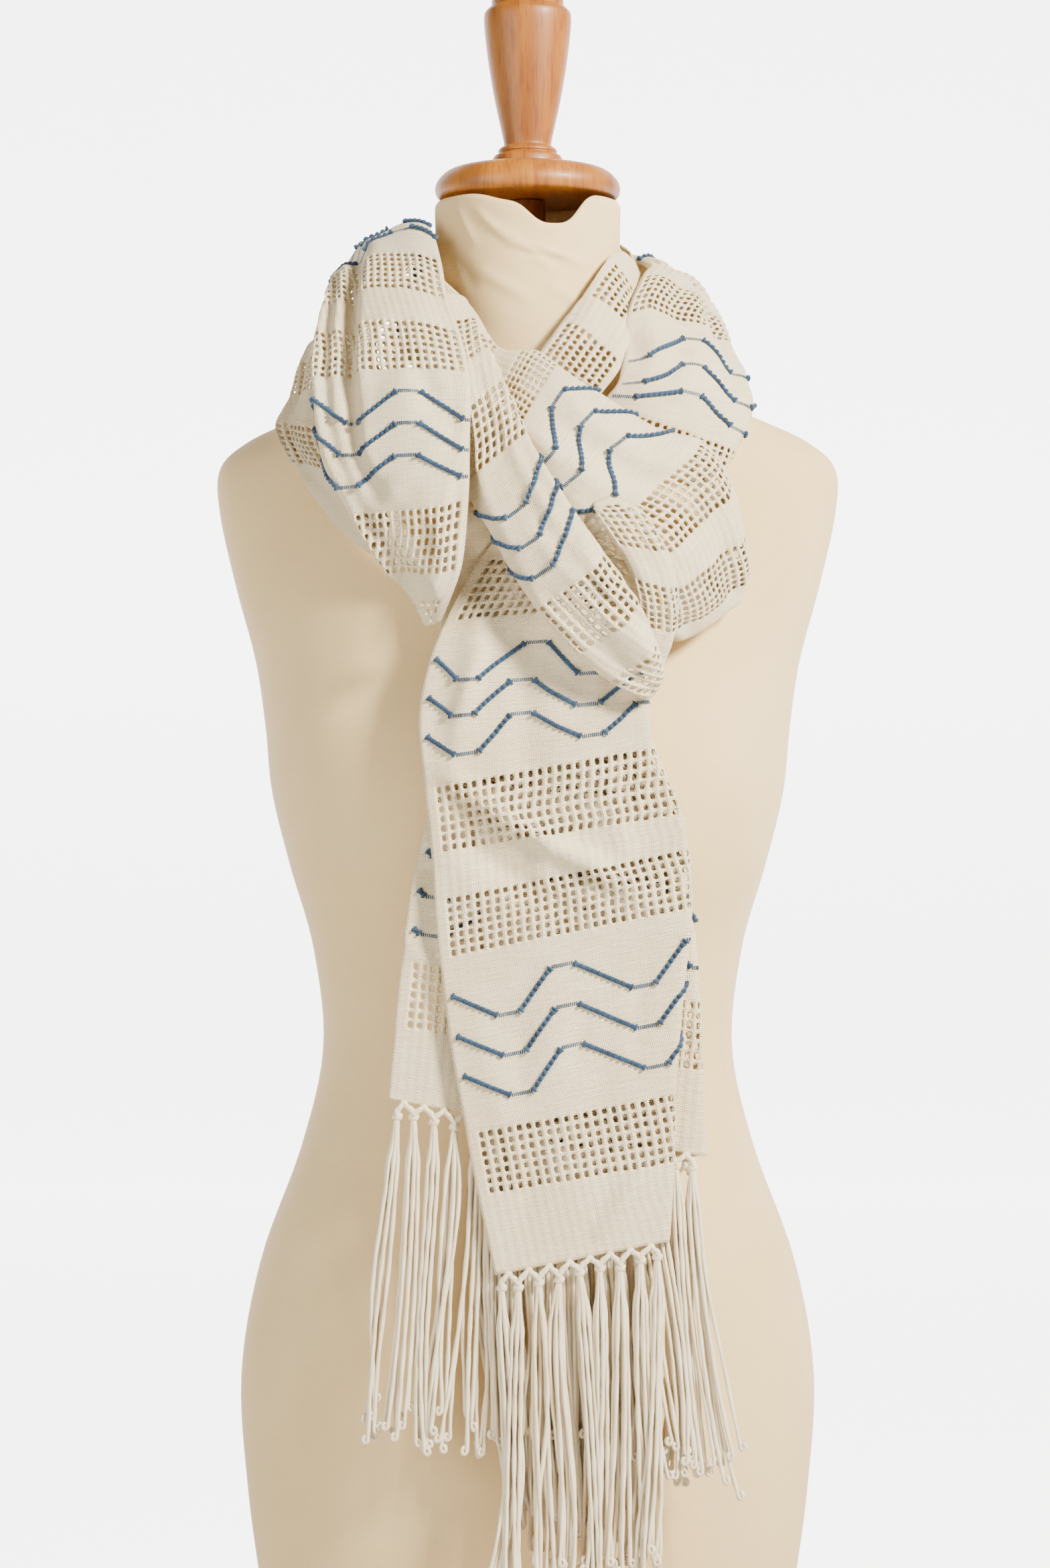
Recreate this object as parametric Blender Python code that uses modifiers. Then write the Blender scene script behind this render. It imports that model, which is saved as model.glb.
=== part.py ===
# A shawl wound round the neck of a limbless dress form: every stretch of cloth that shows, the
# fringes on its two ends, and the form with its turned stand.
# Tables are in millimetres and lengths in metres are given by MM. The viewer stands at -Y.

import math

import bmesh
import bpy
import numpy as np
from mathutils import Vector
from mathutils.bvhtree import BVHTree

MM = 0.001

# The cloth.
WALL = 2.0              # thickness of the cloth
LAYER_GAP = 0.6         # air between one layer and the next
TASSEL_PITCH = 12.0     # tassels along a hem
STRANDS_IN_TASSEL = 2
STRAND_RADIUS = 1.5
STRAND_LENGTH = 238.0
STRAND_SIDES = 3
STRAND_STEPS = 4
STRIP_HEIGHT = 5.0      # the narrow strip that the strands of one hem grow from
STRIP_GAP = 0.9         # the hem is a little wavy, so the two come nearer than this
ROOT_DEPTH = 2.2        # how far down in the strip each strand starts

# The dress form.
FORM_SIDES = 32
NECK_RADIUS = 56.5
NECK_TOP = 985.0
NECK_WALL = 4.0
RECESS_FLOOR = 955.0    # the hollow under the cap, where the post stands
RIM_DIP = 20.0          # how far the covering sags below the cap at the front
POST_RADIUS = 11.0
CAP_RADIUS = 56.7
CAP_BOTTOM = 987.0
CAP_TOP = 1008.0
HANDLE_TOP = 1129.0
TORSO_BOTTOM = 140.0
POLE_RADIUS = 17.5
BASE_RADIUS = 210.0
BASE_HEIGHT = 30.0
PIECE_GAP = 0.3
TURN_STEPS = 24

# Rings of the torso, from the hem of the form up to the neck: height, half width, how far it
# reaches to the front and to the back, and how square the ring is (2 is an ellipse).
TORSO_COLUMNS = ("height", "half_width", "front", "back", "square")
TORSO_RINGS = (
    (TORSO_BOTTOM, 163, 92, 118, 2.2),
    (200, 171, 96, 123, 2.2),
    (270, 175, 98, 125, 2.2),
    (340, 163, 94, 112, 2.2),
    (410, 138, 89, 88, 2.2),
    (470, 125, 87, 76, 2.2),
    (530, 131, 96, 82, 2.2),
    (580, 145, 114, 92, 2.3),
    (625, 156, 120.6, 98, 2.3),
    (665, 160, 116, 100, 2.4),
    (705, 166, 102, 100, 2.5),
    (750, 178, 91, 98, 2.6),
    (795, 188, 79, 92, 2.6),
    (822, 188, 70, 83, 2.5),
    (838, 172, 64, 74, 2.4),
    (851, 145, 60, 67, 2.3),
    (864, 112, 58, 62, 2.2),
    (875, 82, 57, 58, 2.1),
    (889, 60, NECK_RADIUS, NECK_RADIUS, 2.0),
)

# Sections across a stretch of wound cloth. "length" is the place along the cloth, "left" and
# "right" are its two edges there as they show, "puff" is how far it is rounded out between them,
# and the two tucks are how far it turns back towards the body behind those edges.
SECTION_COLUMNS = ("length", "left_x", "left_y", "left_z", "right_x", "right_y", "right_z", "puff",
                   "tuck_left", "tuck_right")

OUTER_TURN = (
    (705, -60, -124, 722, -50, -126, 724, 1, 0, 0),
    (688, -68, -128, 738, -44, -136, 737, 4, 2, 0),
    (661, -81, -128, 754, -38, -146, 754, 8, 6, 0),
    (621, -102, -120, 786, -34, -150, 791, 12, 14, 1),
    (568, -121, -98, 827, -33, -140, 827, 17, 22, 2),
    (516, -125, -74, 862, -33, -122, 866, 19, 28, 2),
    (476, -125, -50, 891, -39, -98, 894, 18, 30, 2),
    (449, -123, -33, 909, -46, -80, 914, 17, 30, 2),
    (409, -119, -6, 930, -51, -60, 941, 15, 26, 2),
    (360, -119, 22, 924, -58, -32, 965, 17, 18, 2),
    (300, -120, 54, 886, -70, 16, 970, 25, 14, 3),
    (240, -90, 78, 854, -54, 58, 972, 35, 7, 4),
    (190, 0, 86, 840, 0, 78, 970, 38, 2, 4),
    (140, 90, 78, 850, 56, 58, 962, 35, 2, 4),
    (80, 122, 48, 876, 74, 17, 950, 24, 6, 3),
    (25, 118, 12, 908, 75, -16, 938, 13, 14, 2),
    (-15, 124, -8, 896, 68, -52, 913, 12, 20, 2),
    (-60, 131, -28, 876, 69, -64, 883, 14, 24, 2),
    (-90, 136, -45, 857, 60, -84, 866, 14, 20, 2),
    (-120, 129, -64, 838, 46, -98, 858, 12, 12, 1),
    (-160, 117, -84, 814, 36, -106, 840, 9, 4, 0),
)

INNER_TURN = (
    (-270, 24, -86, 832, -5, -76, 867, 3, 0, 0),
    (-227, 40, -84, 856, 6, -72, 885, 4, 0, 0),
    (-187, 56, -74, 879, 20, -64, 905, 5, 0, 0),
    (-160, 63, -60, 900, 33, -58, 922, 4, 0, 0),
    (-120, 70, -32, 914, 50, -39, 948, 3, 0, 0),
    (-60, 78, 16, 894, 64, 9, 956, 4, 0, 0),
    (20, 48, 66, 880, 41, 50, 970, 8, 0, 0),
    (60, 0, 78, 874, 0, 64, 976, 9, 0, 0),
    (100, -50, 66, 882, -43, 50, 973, 8, 0, 0),
    (140, -79, 22, 896, -64, 8, 957, 4, 0, 0),
    (175, -70, -34, 902, -53, -40, 936, 3, 0, 0),
    (195, -60, -70, 874, -35, -58, 917, 5, 0, 0),
    (230, -38, -100, 836, -18, -74, 890, 7, 0, 0),
    (270, -21, -120, 817, 5, -88, 885, 9, 0, 1),
    (304, -7, -132, 808, 24, -98, 871, 11, 0, 2),
    (350, 10, -138, 788, 54, -108, 851, 13, 0, 3),
    (380, 22, -142, 776, 77, -112, 837, 14, 0, 5),
    (409, 34, -144, 770, 100, -106, 832, 14, 0, 8),
    (449, 55, -144, 750, 119, -92, 807, 14, 0, 14),
    (476, 66, -140, 734, 126, -82, 784, 13, 0, 16),
    (516, 80, -128, 718, 128, -70, 759, 11, 0, 14),
    (545, 84, -112, 714, 122, -62, 746, 8, 0, 8),
    (565, 78, -98, 722, 110, -62, 750, 4, 0, 2),
    (580, 72, -94, 738, 100, -68, 760, 2, 0, 0),
)

CROSS_BAND = (
    (170, -55, -72, 920, -36, -62, 918, 4, 0, 0),
    (230, -44, -108, 869, -22, -86, 887, 7, 0, 2),
    (265, -38, -126, 832, -10, -106, 858, 9, 0, 4),
    (304, -34, -139, 797, 3, -130, 826, 11, 4, 5),
    (340, -21, -148, 773, 17, -148, 802, 11, 6, 6),
    (375, -9, -152, 751, 31, -158, 781, 11, 7, 6),
    (409, 3, -154, 733, 43, -164, 764, 11, 7, 6),
    (449, 27, -154, 706, 64, -164, 733, 10, 6, 5),
    (476, 45, -150, 690, 74, -156, 713, 8, 5, 4),
    (500, 61, -146, 681, 78, -146, 696, 5, 3, 2),
    (515, 68, -142, 678, 76, -140, 687, 2, 0, 0),
)

LOOP_END = (
    (380, 38, -141, 792, 46, -140, 796, 1, 0, 0),
    (396, 38, -146, 788, 62, -140, 790, 4, 0, 1),
    (420, 46, -150, 774, 77, -141, 771, 6, 0, 4),
    (446, 56, -149, 757, 85, -139, 752, 8, 0, 6),
    (476, 63, -147, 736, 87, -138, 731, 8, 0, 6),
    (505, 68, -143, 716, 84, -137, 713, 6, 0, 4),
    (530, 71, -138, 697, 78, -135, 697, 2, 0, 0),
)

SHOULDER_LEFT = (
    (390, -116, 46, 896, -98, 36, 908, 3, 0, 0),
    (430, -131, 20, 904, -106, 8, 908, 6, 5, 0),
    (470, -140, 0, 888, -108, -20, 888, 7, 8, 0),
    (510, -144, -20, 866, -110, -42, 864, 8, 8, 0),
    (540, -152, -40, 846, -108, -64, 838, 8, 6, 0),
    (580, -139, -62, 820, -96, -86, 814, 8, 5, 0),
    (620, -121, -85, 792, -78, -104, 790, 7, 4, 0),
    (650, -103, -100, 773, -64, -112, 770, 5, 2, 0),
    (670, -89, -108, 763, -58, -116, 756, 3, 0, 0),
)

# Lengthwise folds: "across" is their place between the left (0) and the right edge (1), and they
# run from one length to the other. "lean" moves them across by that much on the way.
FOLD_COLUMNS = ("across", "lean", "start", "finish", "height", "width")

OUTER_FOLDS = (
    (0.16, 0.02, 700, 330, 4.5, 0.07),
    (0.34, 0.06, 640, 300, -5.5, 0.06),
    (0.52, -0.02, 560, 260, 3.5, 0.08),
    (0.80, 0.05, 690, 380, -3.0, 0.07),
    (0.22, 0.22, 340, 90, -6.0, 0.07),
    (0.70, -0.25, 330, 60, -6.5, 0.06),
    (0.48, 0.15, 260, 70, 4.0, 0.10),
    (0.80, -0.05, 240, 20, -3.5, 0.06),
    (0.30, 0.05, 50, -150, -5.0, 0.07),
    (0.55, 0.10, 60, -120, -4.0, 0.07),
    (0.78, -0.04, 30, -140, 3.0, 0.07),
)
INNER_FOLDS = (
    (0.35, 0.10, -120, -260, -3.0, 0.10),
    (0.65, 0.05, -110, -240, 2.5, 0.10),
    (0.30, 0.15, 250, 420, 3.0, 0.10),
    (0.55, 0.10, 330, 530, -4.5, 0.08),
    (0.75, -0.05, 430, 560, 4.0, 0.08),
    (0.22, 0.05, 420, 540, -4.0, 0.07),
)
CROSS_FOLDS = (
    (0.35, 0.10, 400, 530, -3.5, 0.10),
    (0.72, 0.00, 380, 530, 3.0, 0.09),
    (0.55, 0.00, 180, 300, -2.5, 0.10),
)
LOOP_FOLDS = ((0.5, 0.0, 400, 520, -3.0, 0.12),)
SHOULDER_FOLDS = (
    (0.25, 0.05, 420, 600, -5.0, 0.09),
    (0.55, 0.00, 450, 660, 4.0, 0.10),
    (0.80, 0.05, 430, 640, -4.0, 0.08),
)

# Sections across a tail, measured up from its hem: the two edges, the depth of the front leaf,
# and how much of the width is folded back behind it at the right edge.
TAIL_COLUMNS = ("length", "left_x", "left_z", "right_x", "right_z", "depth", "puff", "folded")
FRONT_TAIL = (
    (476, -8, 785, 40, 780, -126, 3, 0.50),
    (449, -27, 762, 46, 758, -131, 4, 0.50),
    (409, -48, 724, 57, 732, -137, 6, 0.60),
    (370, -59, 694, 63, 700, -140, 6, 0.75),
    (335, -63, 665, 67, 677, -142, 5, 0.80),
    (304, -60, 630, 70, 653, -143, 4, 0.85),
    (264, -56, 592, 86, 614, -143, 3, 0.85),
    (237, -54, 565, 90, 594, -143, 2, 0.85),
    (197, -51, 530, 92, 559, -143, 2, 0.85),
    (145, -45, 480, 87, 507, -142, 2, 0.85),
    (92, -36, 430, 83, 453, -142, 2, 0.85),
    (51, -29, 393, 82, 412, -142, 2, 0.85),
    (0, -19, 346, 79, 365, -142, 1, 0.85),
)
BACK_TAIL = (
    (420, -52, 800, 46, 800, -112, 3, 0.40),
    (370, -52, 762, 44, 762, -118, 3, 0.50),
    (320, -50, 718, 48, 716, -124, 2, 0.60),
    (264, -52, 672, 63, 665, -127, 2, 0.65),
    (197, -57, 619, 84, 603, -128, 1, 0.70),
    (145, -68, 568, 93, 553, -128, 1, 0.75),
    (92, -73, 528, 97, 504, -128, 1, 0.75),
    (51, -77, 489, 99, 463, -128, 1, 0.75),
    (0, -81, 447, 101, 414, -128, 1, 0.75),
)
FRONT_TAIL_FOLDS = (
    (0.16, 0.08, 476, 300, 4.0, 0.07),
    (0.58, -0.22, 470, 200, -3.5, 0.07),
    (0.84, -0.04, 476, 320, 3.5, 0.06),
    (0.35, 0.15, 330, 30, 1.8, 0.09),
    (0.70, -0.05, 200, -20, -1.8, 0.08),
)
BACK_TAIL_FOLDS = (
    (0.12, 0.02, 260, -20, 1.5, 0.06),
    (0.30, 0.00, 200, -20, -1.5, 0.06),
)
FOLD_RADIUS = 3.4       # the turn at a tail's folded edge
FRONT_TAIL_COUNT = 14   # points across a tail's front leaf
BACK_TAIL_COUNT = 10

CORE = np.array((0.0, 0.0, 835.0))      # the middle of the wound cloth, which it is rounded out from
MAP_STEP = 2.5          # cells of the maps that the layers are laid by
MAP_SIZE = 240
MAP_LEFT = -300.0
MAP_FOOT = 480.0
FINE = 4                # steps that each facet is tested at
JOIN_ROWS = 2           # rows over which a move fades out before a join
SEAT_STILL = 0.15       # share of a stretch that stays put next to a join
SEAT_STEPS = 5
JOIN_ROW = 3.0          # how close the extra row lies to a join
SEATED = 0.45           # air that is left where a layer touches the one below it
SEAM = 0.8              # gap between two stretches of the same turn
WIDE_SEAM = 3.2         # the same at the left, where the cloth bends round sharply
TUCK_TURN = math.radians(55)    # how far round the cloth goes on behind its edges
FULL_TUCK = 12.0        # a tuck this deep or deeper goes all that way round


def smooth(knots, values, at):
    """Cubic curve through values at knots, with slopes taken from the neighbours on each side."""
    knots, values = np.asarray(knots, float), np.asarray(values, float)
    if knots[0] > knots[-1]:
        knots, values = knots[::-1], values[::-1]
    slopes = np.gradient(values, knots)
    k = np.clip(np.searchsorted(knots, at) - 1, 0, len(knots) - 2)
    step = knots[k + 1] - knots[k]
    t = (at - knots[k]) / step
    return ((2 * t**3 - 3 * t**2 + 1) * values[k] + (t**3 - 2 * t**2 + t) * step * slopes[k]
            + (3 * t**2 - 2 * t**3) * values[k + 1] + (t**3 - t**2) * step * slopes[k + 1])


def columns(names, rows):
    return {name: np.array(values, float) for name, values in zip(names, zip(*rows))}


def table_at(names, rows, along):
    """Each column of a table, read on smooth curves at the given lengths."""
    table = columns(names, rows)
    knots = table.pop(names[0])
    return {name: smooth(knots, values, along) for name, values in table.items()}


def fold_height(folds, along, across):
    """Sum of the lengthwise folds: a round ridge or trough that fades in and out at its ends.

    "along" holds a length for each row, and "across" a place for each point."""
    height = np.zeros(across.shape)
    for place, lean, start, finish, tall, width in folds:
        t = ((along - start) / (finish - start))[:, None]
        fade = np.where((t > 0) & (t < 1), np.sin(math.pi * np.clip(t, 0, 1)) ** 0.6, 0.0)
        middle = place + lean * np.clip(t, 0, 1)
        height += tall * fade * np.exp(-((across - middle) / width) ** 2)
    return height


def wound_points(rows, folds, start, finish, along_count, across_count, joined):
    """Points of one stretch of wound cloth.

    Across it the cloth follows half an ellipse between its two edges and turns on behind them,
    with the folds on top. An end that meets the next stretch has one more row close to it, so
    that both stretches leave the seam in the same plane."""
    along = np.linspace(start, finish, along_count)
    close = JOIN_ROW * np.sign(finish - start)
    along = np.concatenate([along[:1], along[:1] + close if joined[0] else [], along[1:-1],
                            along[-1:] - close if joined[1] else [], along[-1:]])
    at = {name: value[:, None] for name, value in table_at(SECTION_COLUMNS, rows, along).items()}
    left = np.stack([at["left_x"], at["left_y"], at["left_z"]], 2)
    right = np.stack([at["right_x"], at["right_y"], at["right_z"]], 2)
    chord = right - left
    out = (left + right) / 2 - CORE
    out -= chord * (np.sum(out * chord, 2) / np.sum(chord * chord, 2))[..., None]
    out /= np.linalg.norm(out, axis=2)[..., None]
    first = -TUCK_TURN * np.clip(at["tuck_left"] / FULL_TUCK, 0, 1)
    last = math.pi + TUCK_TURN * np.clip(at["tuck_right"] / FULL_TUCK, 0, 1)
    turn = first + (last - first) * np.linspace(0, 1, across_count)
    depth = np.where(turn < 0, at["tuck_left"], np.where(turn > math.pi, at["tuck_right"], at["puff"]))
    rise = depth * np.sin(turn)
    rise += fold_height(folds, along, turn / math.pi) * np.clip(at["puff"] / 8, 0, 1)
    across = 0.5 - 0.5 * np.cos(turn)
    return left + chord * across[..., None] + out * rise[..., None]


def tail_points(rows, folds, along_count, front_count, fold_count, back_count):
    """Points of a tail: the front leaf, a half turn at its right edge, and the leaf behind."""
    along = np.linspace(rows[0][0], rows[-1][0], along_count)
    at = {name: value[:, None] for name, value in table_at(TAIL_COLUMNS, rows, along).items()}
    front = np.linspace(0, 1, front_count)[None]
    rise = (at["puff"] * np.sin(math.pi * front)
            + fold_height(folds, along, np.repeat(front, along_count, 0)))
    front_leaf = np.stack([at["left_x"] + (at["right_x"] - at["left_x"]) * front,
                           at["depth"] - rise * (1 - front**6),
                           at["left_z"] + (at["right_z"] - at["left_z"]) * front], 2)
    turn = np.linspace(0, math.pi, fold_count + 2)[None, 1:-1]
    fold = np.stack([at["right_x"] + FOLD_RADIUS * np.sin(turn),
                     at["depth"] + FOLD_RADIUS * (1 - np.cos(turn)),
                     at["right_z"] + 0 * turn], 2)
    back = at["folded"] * np.linspace(0, 1, back_count)[None]
    back_leaf = np.stack([at["right_x"] + (at["left_x"] - at["right_x"]) * back,
                          at["depth"] + 2 * FOLD_RADIUS + 0 * back,
                          at["right_z"] + (at["right_z"] - at["left_z"]) * back], 2)
    return np.concatenate([front_leaf, fold, back_leaf], 1)


def finer(points, times):
    """The same surface with more points, laid evenly between the given ones."""
    for axis in (0, 1):
        count = points.shape[axis]
        at = np.linspace(0, count - 1, (count - 1) * times + 1)
        low = np.minimum(at.astype(int), count - 2)
        share = (at - low).reshape((-1, 1, 1) if axis == 0 else (1, -1, 1))
        points = (np.take(points, low, axis) * (1 - share)
                  + np.take(points, low + 1, axis) * share)
    return points


def cells(points):
    """The map cell of each point, seen from the front or the back."""
    column = np.clip(((points[..., 0] - MAP_LEFT) / MAP_STEP).astype(int), 0, MAP_SIZE - 1)
    row = np.clip(((points[..., 2] - MAP_FOOT) / MAP_STEP).astype(int), 0, MAP_SIZE - 1)
    return column, row


def spread(field, reach):
    """Each cell takes the largest value within reach of it."""
    for axis in (0, 1):
        wide = field.copy()
        for shift in range(1, reach + 1):
            for way in (shift, -shift):
                wide = np.maximum(wide, np.roll(field, way, axis))
        field = wide
    return field


class Layers:
    """How far what is already laid reaches to the front (side -1) or the back (side 1)."""

    def __init__(self):
        self.reach = {side: np.full((MAP_SIZE, MAP_SIZE), -999.0) for side in (-1, 1)}

    def add(self, points, times=6):
        points = finer(points, times)
        column, row = cells(points)
        for side in (-1, 1):
            np.maximum.at(self.reach[side], (column, row), side * points[..., 1])

    def settle(self, points, side, joined):
        """Moves points out until the cloth lies over what is already laid, and smooths the move.

        Every part of a facet is tested, and its corners take the largest move that it needs. The
        move fades to nothing at an end that is joined to the next stretch."""
        fine = finer(points, FINE)
        need = spread(self.reach[side], 1)[cells(fine)] + WALL + LAYER_GAP
        short = np.pad(np.clip(need - side * fine[..., 1], 0, None), FINE)
        rows, sides = points.shape[:2]
        push = np.zeros((rows, sides))
        for down in range(2 * FINE + 1):
            for over in range(2 * FINE + 1):
                part = short[down:down + (rows - 1) * FINE + 1:FINE, over:over + (sides - 1) * FINE + 1:FINE]
                push = np.maximum(push, part)
        soft = push.copy()
        for _ in range(5):
            wide = np.pad(soft, 1, mode="edge")
            soft = (wide[:-2, 1:-1] + wide[2:, 1:-1] + wide[1:-1, :-2] + wide[1:-1, 2:]
                    + 4 * wide[1:-1, 1:-1]) / 8
            soft = np.maximum(soft, push)
        soft *= np.clip((side * points[..., 1] + 10) / 20, 0, 1)
        place = np.maximum(np.arange(rows) - 1, 0)
        fade = np.ones(rows)
        if joined[0]:
            fade = np.minimum(fade, place / JOIN_ROWS)
        if joined[1]:
            fade = np.minimum(fade, place[::-1] / JOIN_ROWS)
        return points + (soft * fade[:, None])[..., None] * np.array((0.0, side, 0.0))


def new_collection(name):
    collection = bpy.data.collections.new(name)
    bpy.context.scene.collection.children.link(collection)
    return collection


def material(name, colour, roughness, metallic=0.0):
    made = bpy.data.materials.new(name)
    made.use_nodes = True
    shader = made.node_tree.nodes["Principled BSDF"]
    shader.inputs["Base Color"].default_value = (*colour, 1.0)
    shader.inputs["Roughness"].default_value = roughness
    shader.inputs["Metallic"].default_value = metallic
    return made


def new_object(name, points, faces, collection, surface, sharp=40):
    mesh = bpy.data.meshes.new(name)
    mesh.from_pydata([tuple(p * MM) for p in points], [], faces)
    mesh.shade_smooth()
    mesh.set_sharp_from_angle(angle=math.radians(sharp))
    mesh.materials.append(surface)
    made = bpy.data.objects.new(name, mesh)
    collection.objects.link(made)
    return made


def grid_faces(rows, sides, closed=False):
    """Quads between neighbouring points of a grid, closed round its second direction if asked."""
    faces = []
    for row in range(rows - 1):
        for side in range(sides if closed else sides - 1):
            after = (side + 1) % sides
            faces.append((row * sides + side, row * sides + after,
                          (row + 1) * sides + after, (row + 1) * sides + side))
    return faces


def cloth(name, points, collection, surface):
    """An open sheet through the points, given its wall on the inner side by Solidify."""
    rows, sides, _ = points.shape
    made = new_object(name, points.reshape(-1, 3), grid_faces(rows, sides), collection, surface)
    across = points[rows // 2, sides // 2 + 1] - points[rows // 2, sides // 2]
    along = points[rows // 2 + 1, sides // 2] - points[rows // 2, sides // 2]
    outward = points.mean(axis=(0, 1)) * (1, 1, 0)
    if np.dot(np.cross(across, along), outward) < 0:
        made.data.flip_normals()
    wall = made.modifiers.new("wall", "SOLIDIFY")
    wall.thickness = WALL * MM
    wall.offset = -1
    return made


def surface_places(body, depsgraph):
    """The corners, edge middles and face middles of a body as it is evaluated."""
    mesh = body.evaluated_get(depsgraph).data
    corners = [v.co for v in mesh.vertices]
    return (corners + [(corners[a] + corners[b]) / 2 for a, b in (e.vertices for e in mesh.edges)]
            + [face.center for face in mesh.polygons])


def nearest(body, others, depsgraph):
    """Shortest way between places on a body and the others' faces, or the other way round."""
    own = BVHTree.FromObject(body, depsgraph)
    places = surface_places(body, depsgraph)
    near = 1.0
    for other in others:
        tree = BVHTree.FromObject(other, depsgraph)
        near = min([near] + [tree.find_nearest(co)[3] for co in places])
        near = min([near] + [own.find_nearest(co)[3] for co in surface_places(other, depsgraph)])
    return near / MM


def seat(body, points, side, joined, collection):
    """Lets a stretch down on the layers below it until they almost touch at one place.

    The ends that are joined to the next stretch stay where they are."""
    rows = len(points)
    place = np.linspace(0, 1, rows)
    ramp = np.ones(rows)
    if joined[0]:
        ramp = np.minimum(ramp, np.clip((place - SEAT_STILL) / SEAT_STILL, 0, 1))
    if joined[1]:
        ramp = np.minimum(ramp, np.clip((1 - place - SEAT_STILL) / SEAT_STILL, 0, 1))
    others = [other for other in collection.objects if other is not body]
    for _ in range(SEAT_STEPS):
        depsgraph = bpy.context.evaluated_depsgraph_get()
        gap = nearest(body, others, depsgraph)
        if gap <= SEATED:
            break
        points = points - (ramp * side * (gap - SEATED))[:, None, None] * np.array((0.0, 1.0, 0.0))
        body.data.vertices.foreach_set("co", (points * MM).ravel())
        body.data.update()
    return points


def turned(name, profile, steps, collection, surface):
    """A profile of (radius, height) pairs, from the top down on its outer side, turned round Z."""
    mesh = bpy.data.meshes.new(name)
    corners = [(r * MM, 0, z * MM) for r, z in profile]
    mesh.from_pydata(corners, [(i, i + 1) for i in range(len(corners) - 1)], [])
    mesh.materials.append(surface)
    made = bpy.data.objects.new(name, mesh)
    collection.objects.link(made)
    screw = made.modifiers.new("turn", "SCREW")
    screw.steps = steps
    screw.render_steps = steps
    screw.use_merge_vertices = True
    screw.merge_threshold = 0.00005
    screw.use_smooth_shade = True
    return made


def torso_ring(half_width, front, back, square, height):
    turn = np.arange(FORM_SIDES) * 2 * math.pi / FORM_SIDES
    x = half_width * np.sign(np.cos(turn)) * np.abs(np.cos(turn)) ** (2 / square)
    deep = np.where(np.sin(turn) < 0, front, back)
    y = deep * np.sign(np.sin(turn)) * np.abs(np.sin(turn)) ** (2 / square)
    return np.stack([x, y, height + 0 * turn], 1)


def torso_points():
    """Rings up the torso and neck, over the rim of the covering and down into its hollow."""
    table = columns(TORSO_COLUMNS, TORSO_RINGS)
    rings = [torso_ring(w, f, b, s, h) for h, w, f, b, s in
             zip(*(table[name] for name in TORSO_COLUMNS))]
    turn = np.arange(FORM_SIDES) * 2 * math.pi / FORM_SIDES
    facing = np.exp(-((turn - math.radians(278)) / math.radians(26)) ** 2)
    dip = RIM_DIP * facing
    for radius, height, share in ((NECK_RADIUS, 915.0, 0), (NECK_RADIUS, 940.0, 0),
                                  (NECK_RADIUS, NECK_TOP - 22, 0.3), (NECK_RADIUS, NECK_TOP - 3, 1),
                                  (NECK_RADIUS - 1, NECK_TOP, 1),
                                  (NECK_RADIUS - NECK_WALL, NECK_TOP, 1),
                                  (NECK_RADIUS - NECK_WALL - 1, NECK_TOP - 4, 1),
                                  (NECK_RADIUS - NECK_WALL - 1, RECESS_FLOOR, 0)):
        rings.append(torso_ring(radius, radius, radius, 2.0, height)
                     - np.stack([0 * turn, 0 * turn, dip * share], 1))
    return np.stack(rings)


def dress_form(collection, jersey, wood):
    rings = torso_points()
    rows = len(rings)
    faces = grid_faces(rows, FORM_SIDES, closed=True)
    faces.append(tuple(range(FORM_SIDES))[::-1])
    faces.append(tuple((rows - 1) * FORM_SIDES + i for i in range(FORM_SIDES)))
    new_object("form_torso", rings.reshape(-1, 3), faces, collection, jersey)
    post_bottom, post_top = RECESS_FLOOR + PIECE_GAP, CAP_BOTTOM - PIECE_GAP
    turned("neck_post", ((0, post_top), (POST_RADIUS, post_top), (POST_RADIUS, post_bottom),
                         (0, post_bottom)), TURN_STEPS // 2, collection, wood)
    turned("neck_cap", ((0, CAP_TOP), (30, CAP_TOP), (CAP_RADIUS - 6, CAP_TOP - 4),
                        (CAP_RADIUS - 1, CAP_TOP - 9), (CAP_RADIUS, CAP_TOP - 13),
                        (CAP_RADIUS - 1, CAP_BOTTOM + 2), (CAP_RADIUS - 4, CAP_BOTTOM),
                        (0, CAP_BOTTOM)), TURN_STEPS, collection, wood)
    foot = CAP_TOP + PIECE_GAP
    turned("handle", ((0, HANDLE_TOP), (9, HANDLE_TOP - 2), (17, HANDLE_TOP - 8),
                      (22, HANDLE_TOP - 17), (22, foot + 97), (24.5, foot + 95), (27, foot + 92),
                      (26, foot + 78), (20, foot + 40), (14.5, foot + 14), (17, foot + 11),
                      (20, foot + 8), (21.5, foot + 4), (22, foot), (0, foot)),
           TURN_STEPS, collection, wood)
    pole_bottom, pole_top = BASE_HEIGHT + PIECE_GAP, TORSO_BOTTOM - PIECE_GAP
    turned("stand_pole", ((0, pole_top), (POLE_RADIUS, pole_top), (POLE_RADIUS, pole_bottom),
                          (0, pole_bottom)), TURN_STEPS // 2, collection, wood)
    turned("stand_base", ((0, BASE_HEIGHT), (60, BASE_HEIGHT), (BASE_RADIUS - 22, BASE_HEIGHT - 7),
                          (BASE_RADIUS - 5, BASE_HEIGHT - 13), (BASE_RADIUS, BASE_HEIGHT - 20),
                          (BASE_RADIUS - 2, 3), (BASE_RADIUS - 5, 0), (0, 0)),
           TURN_STEPS, collection, wood)
    return rings


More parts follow.
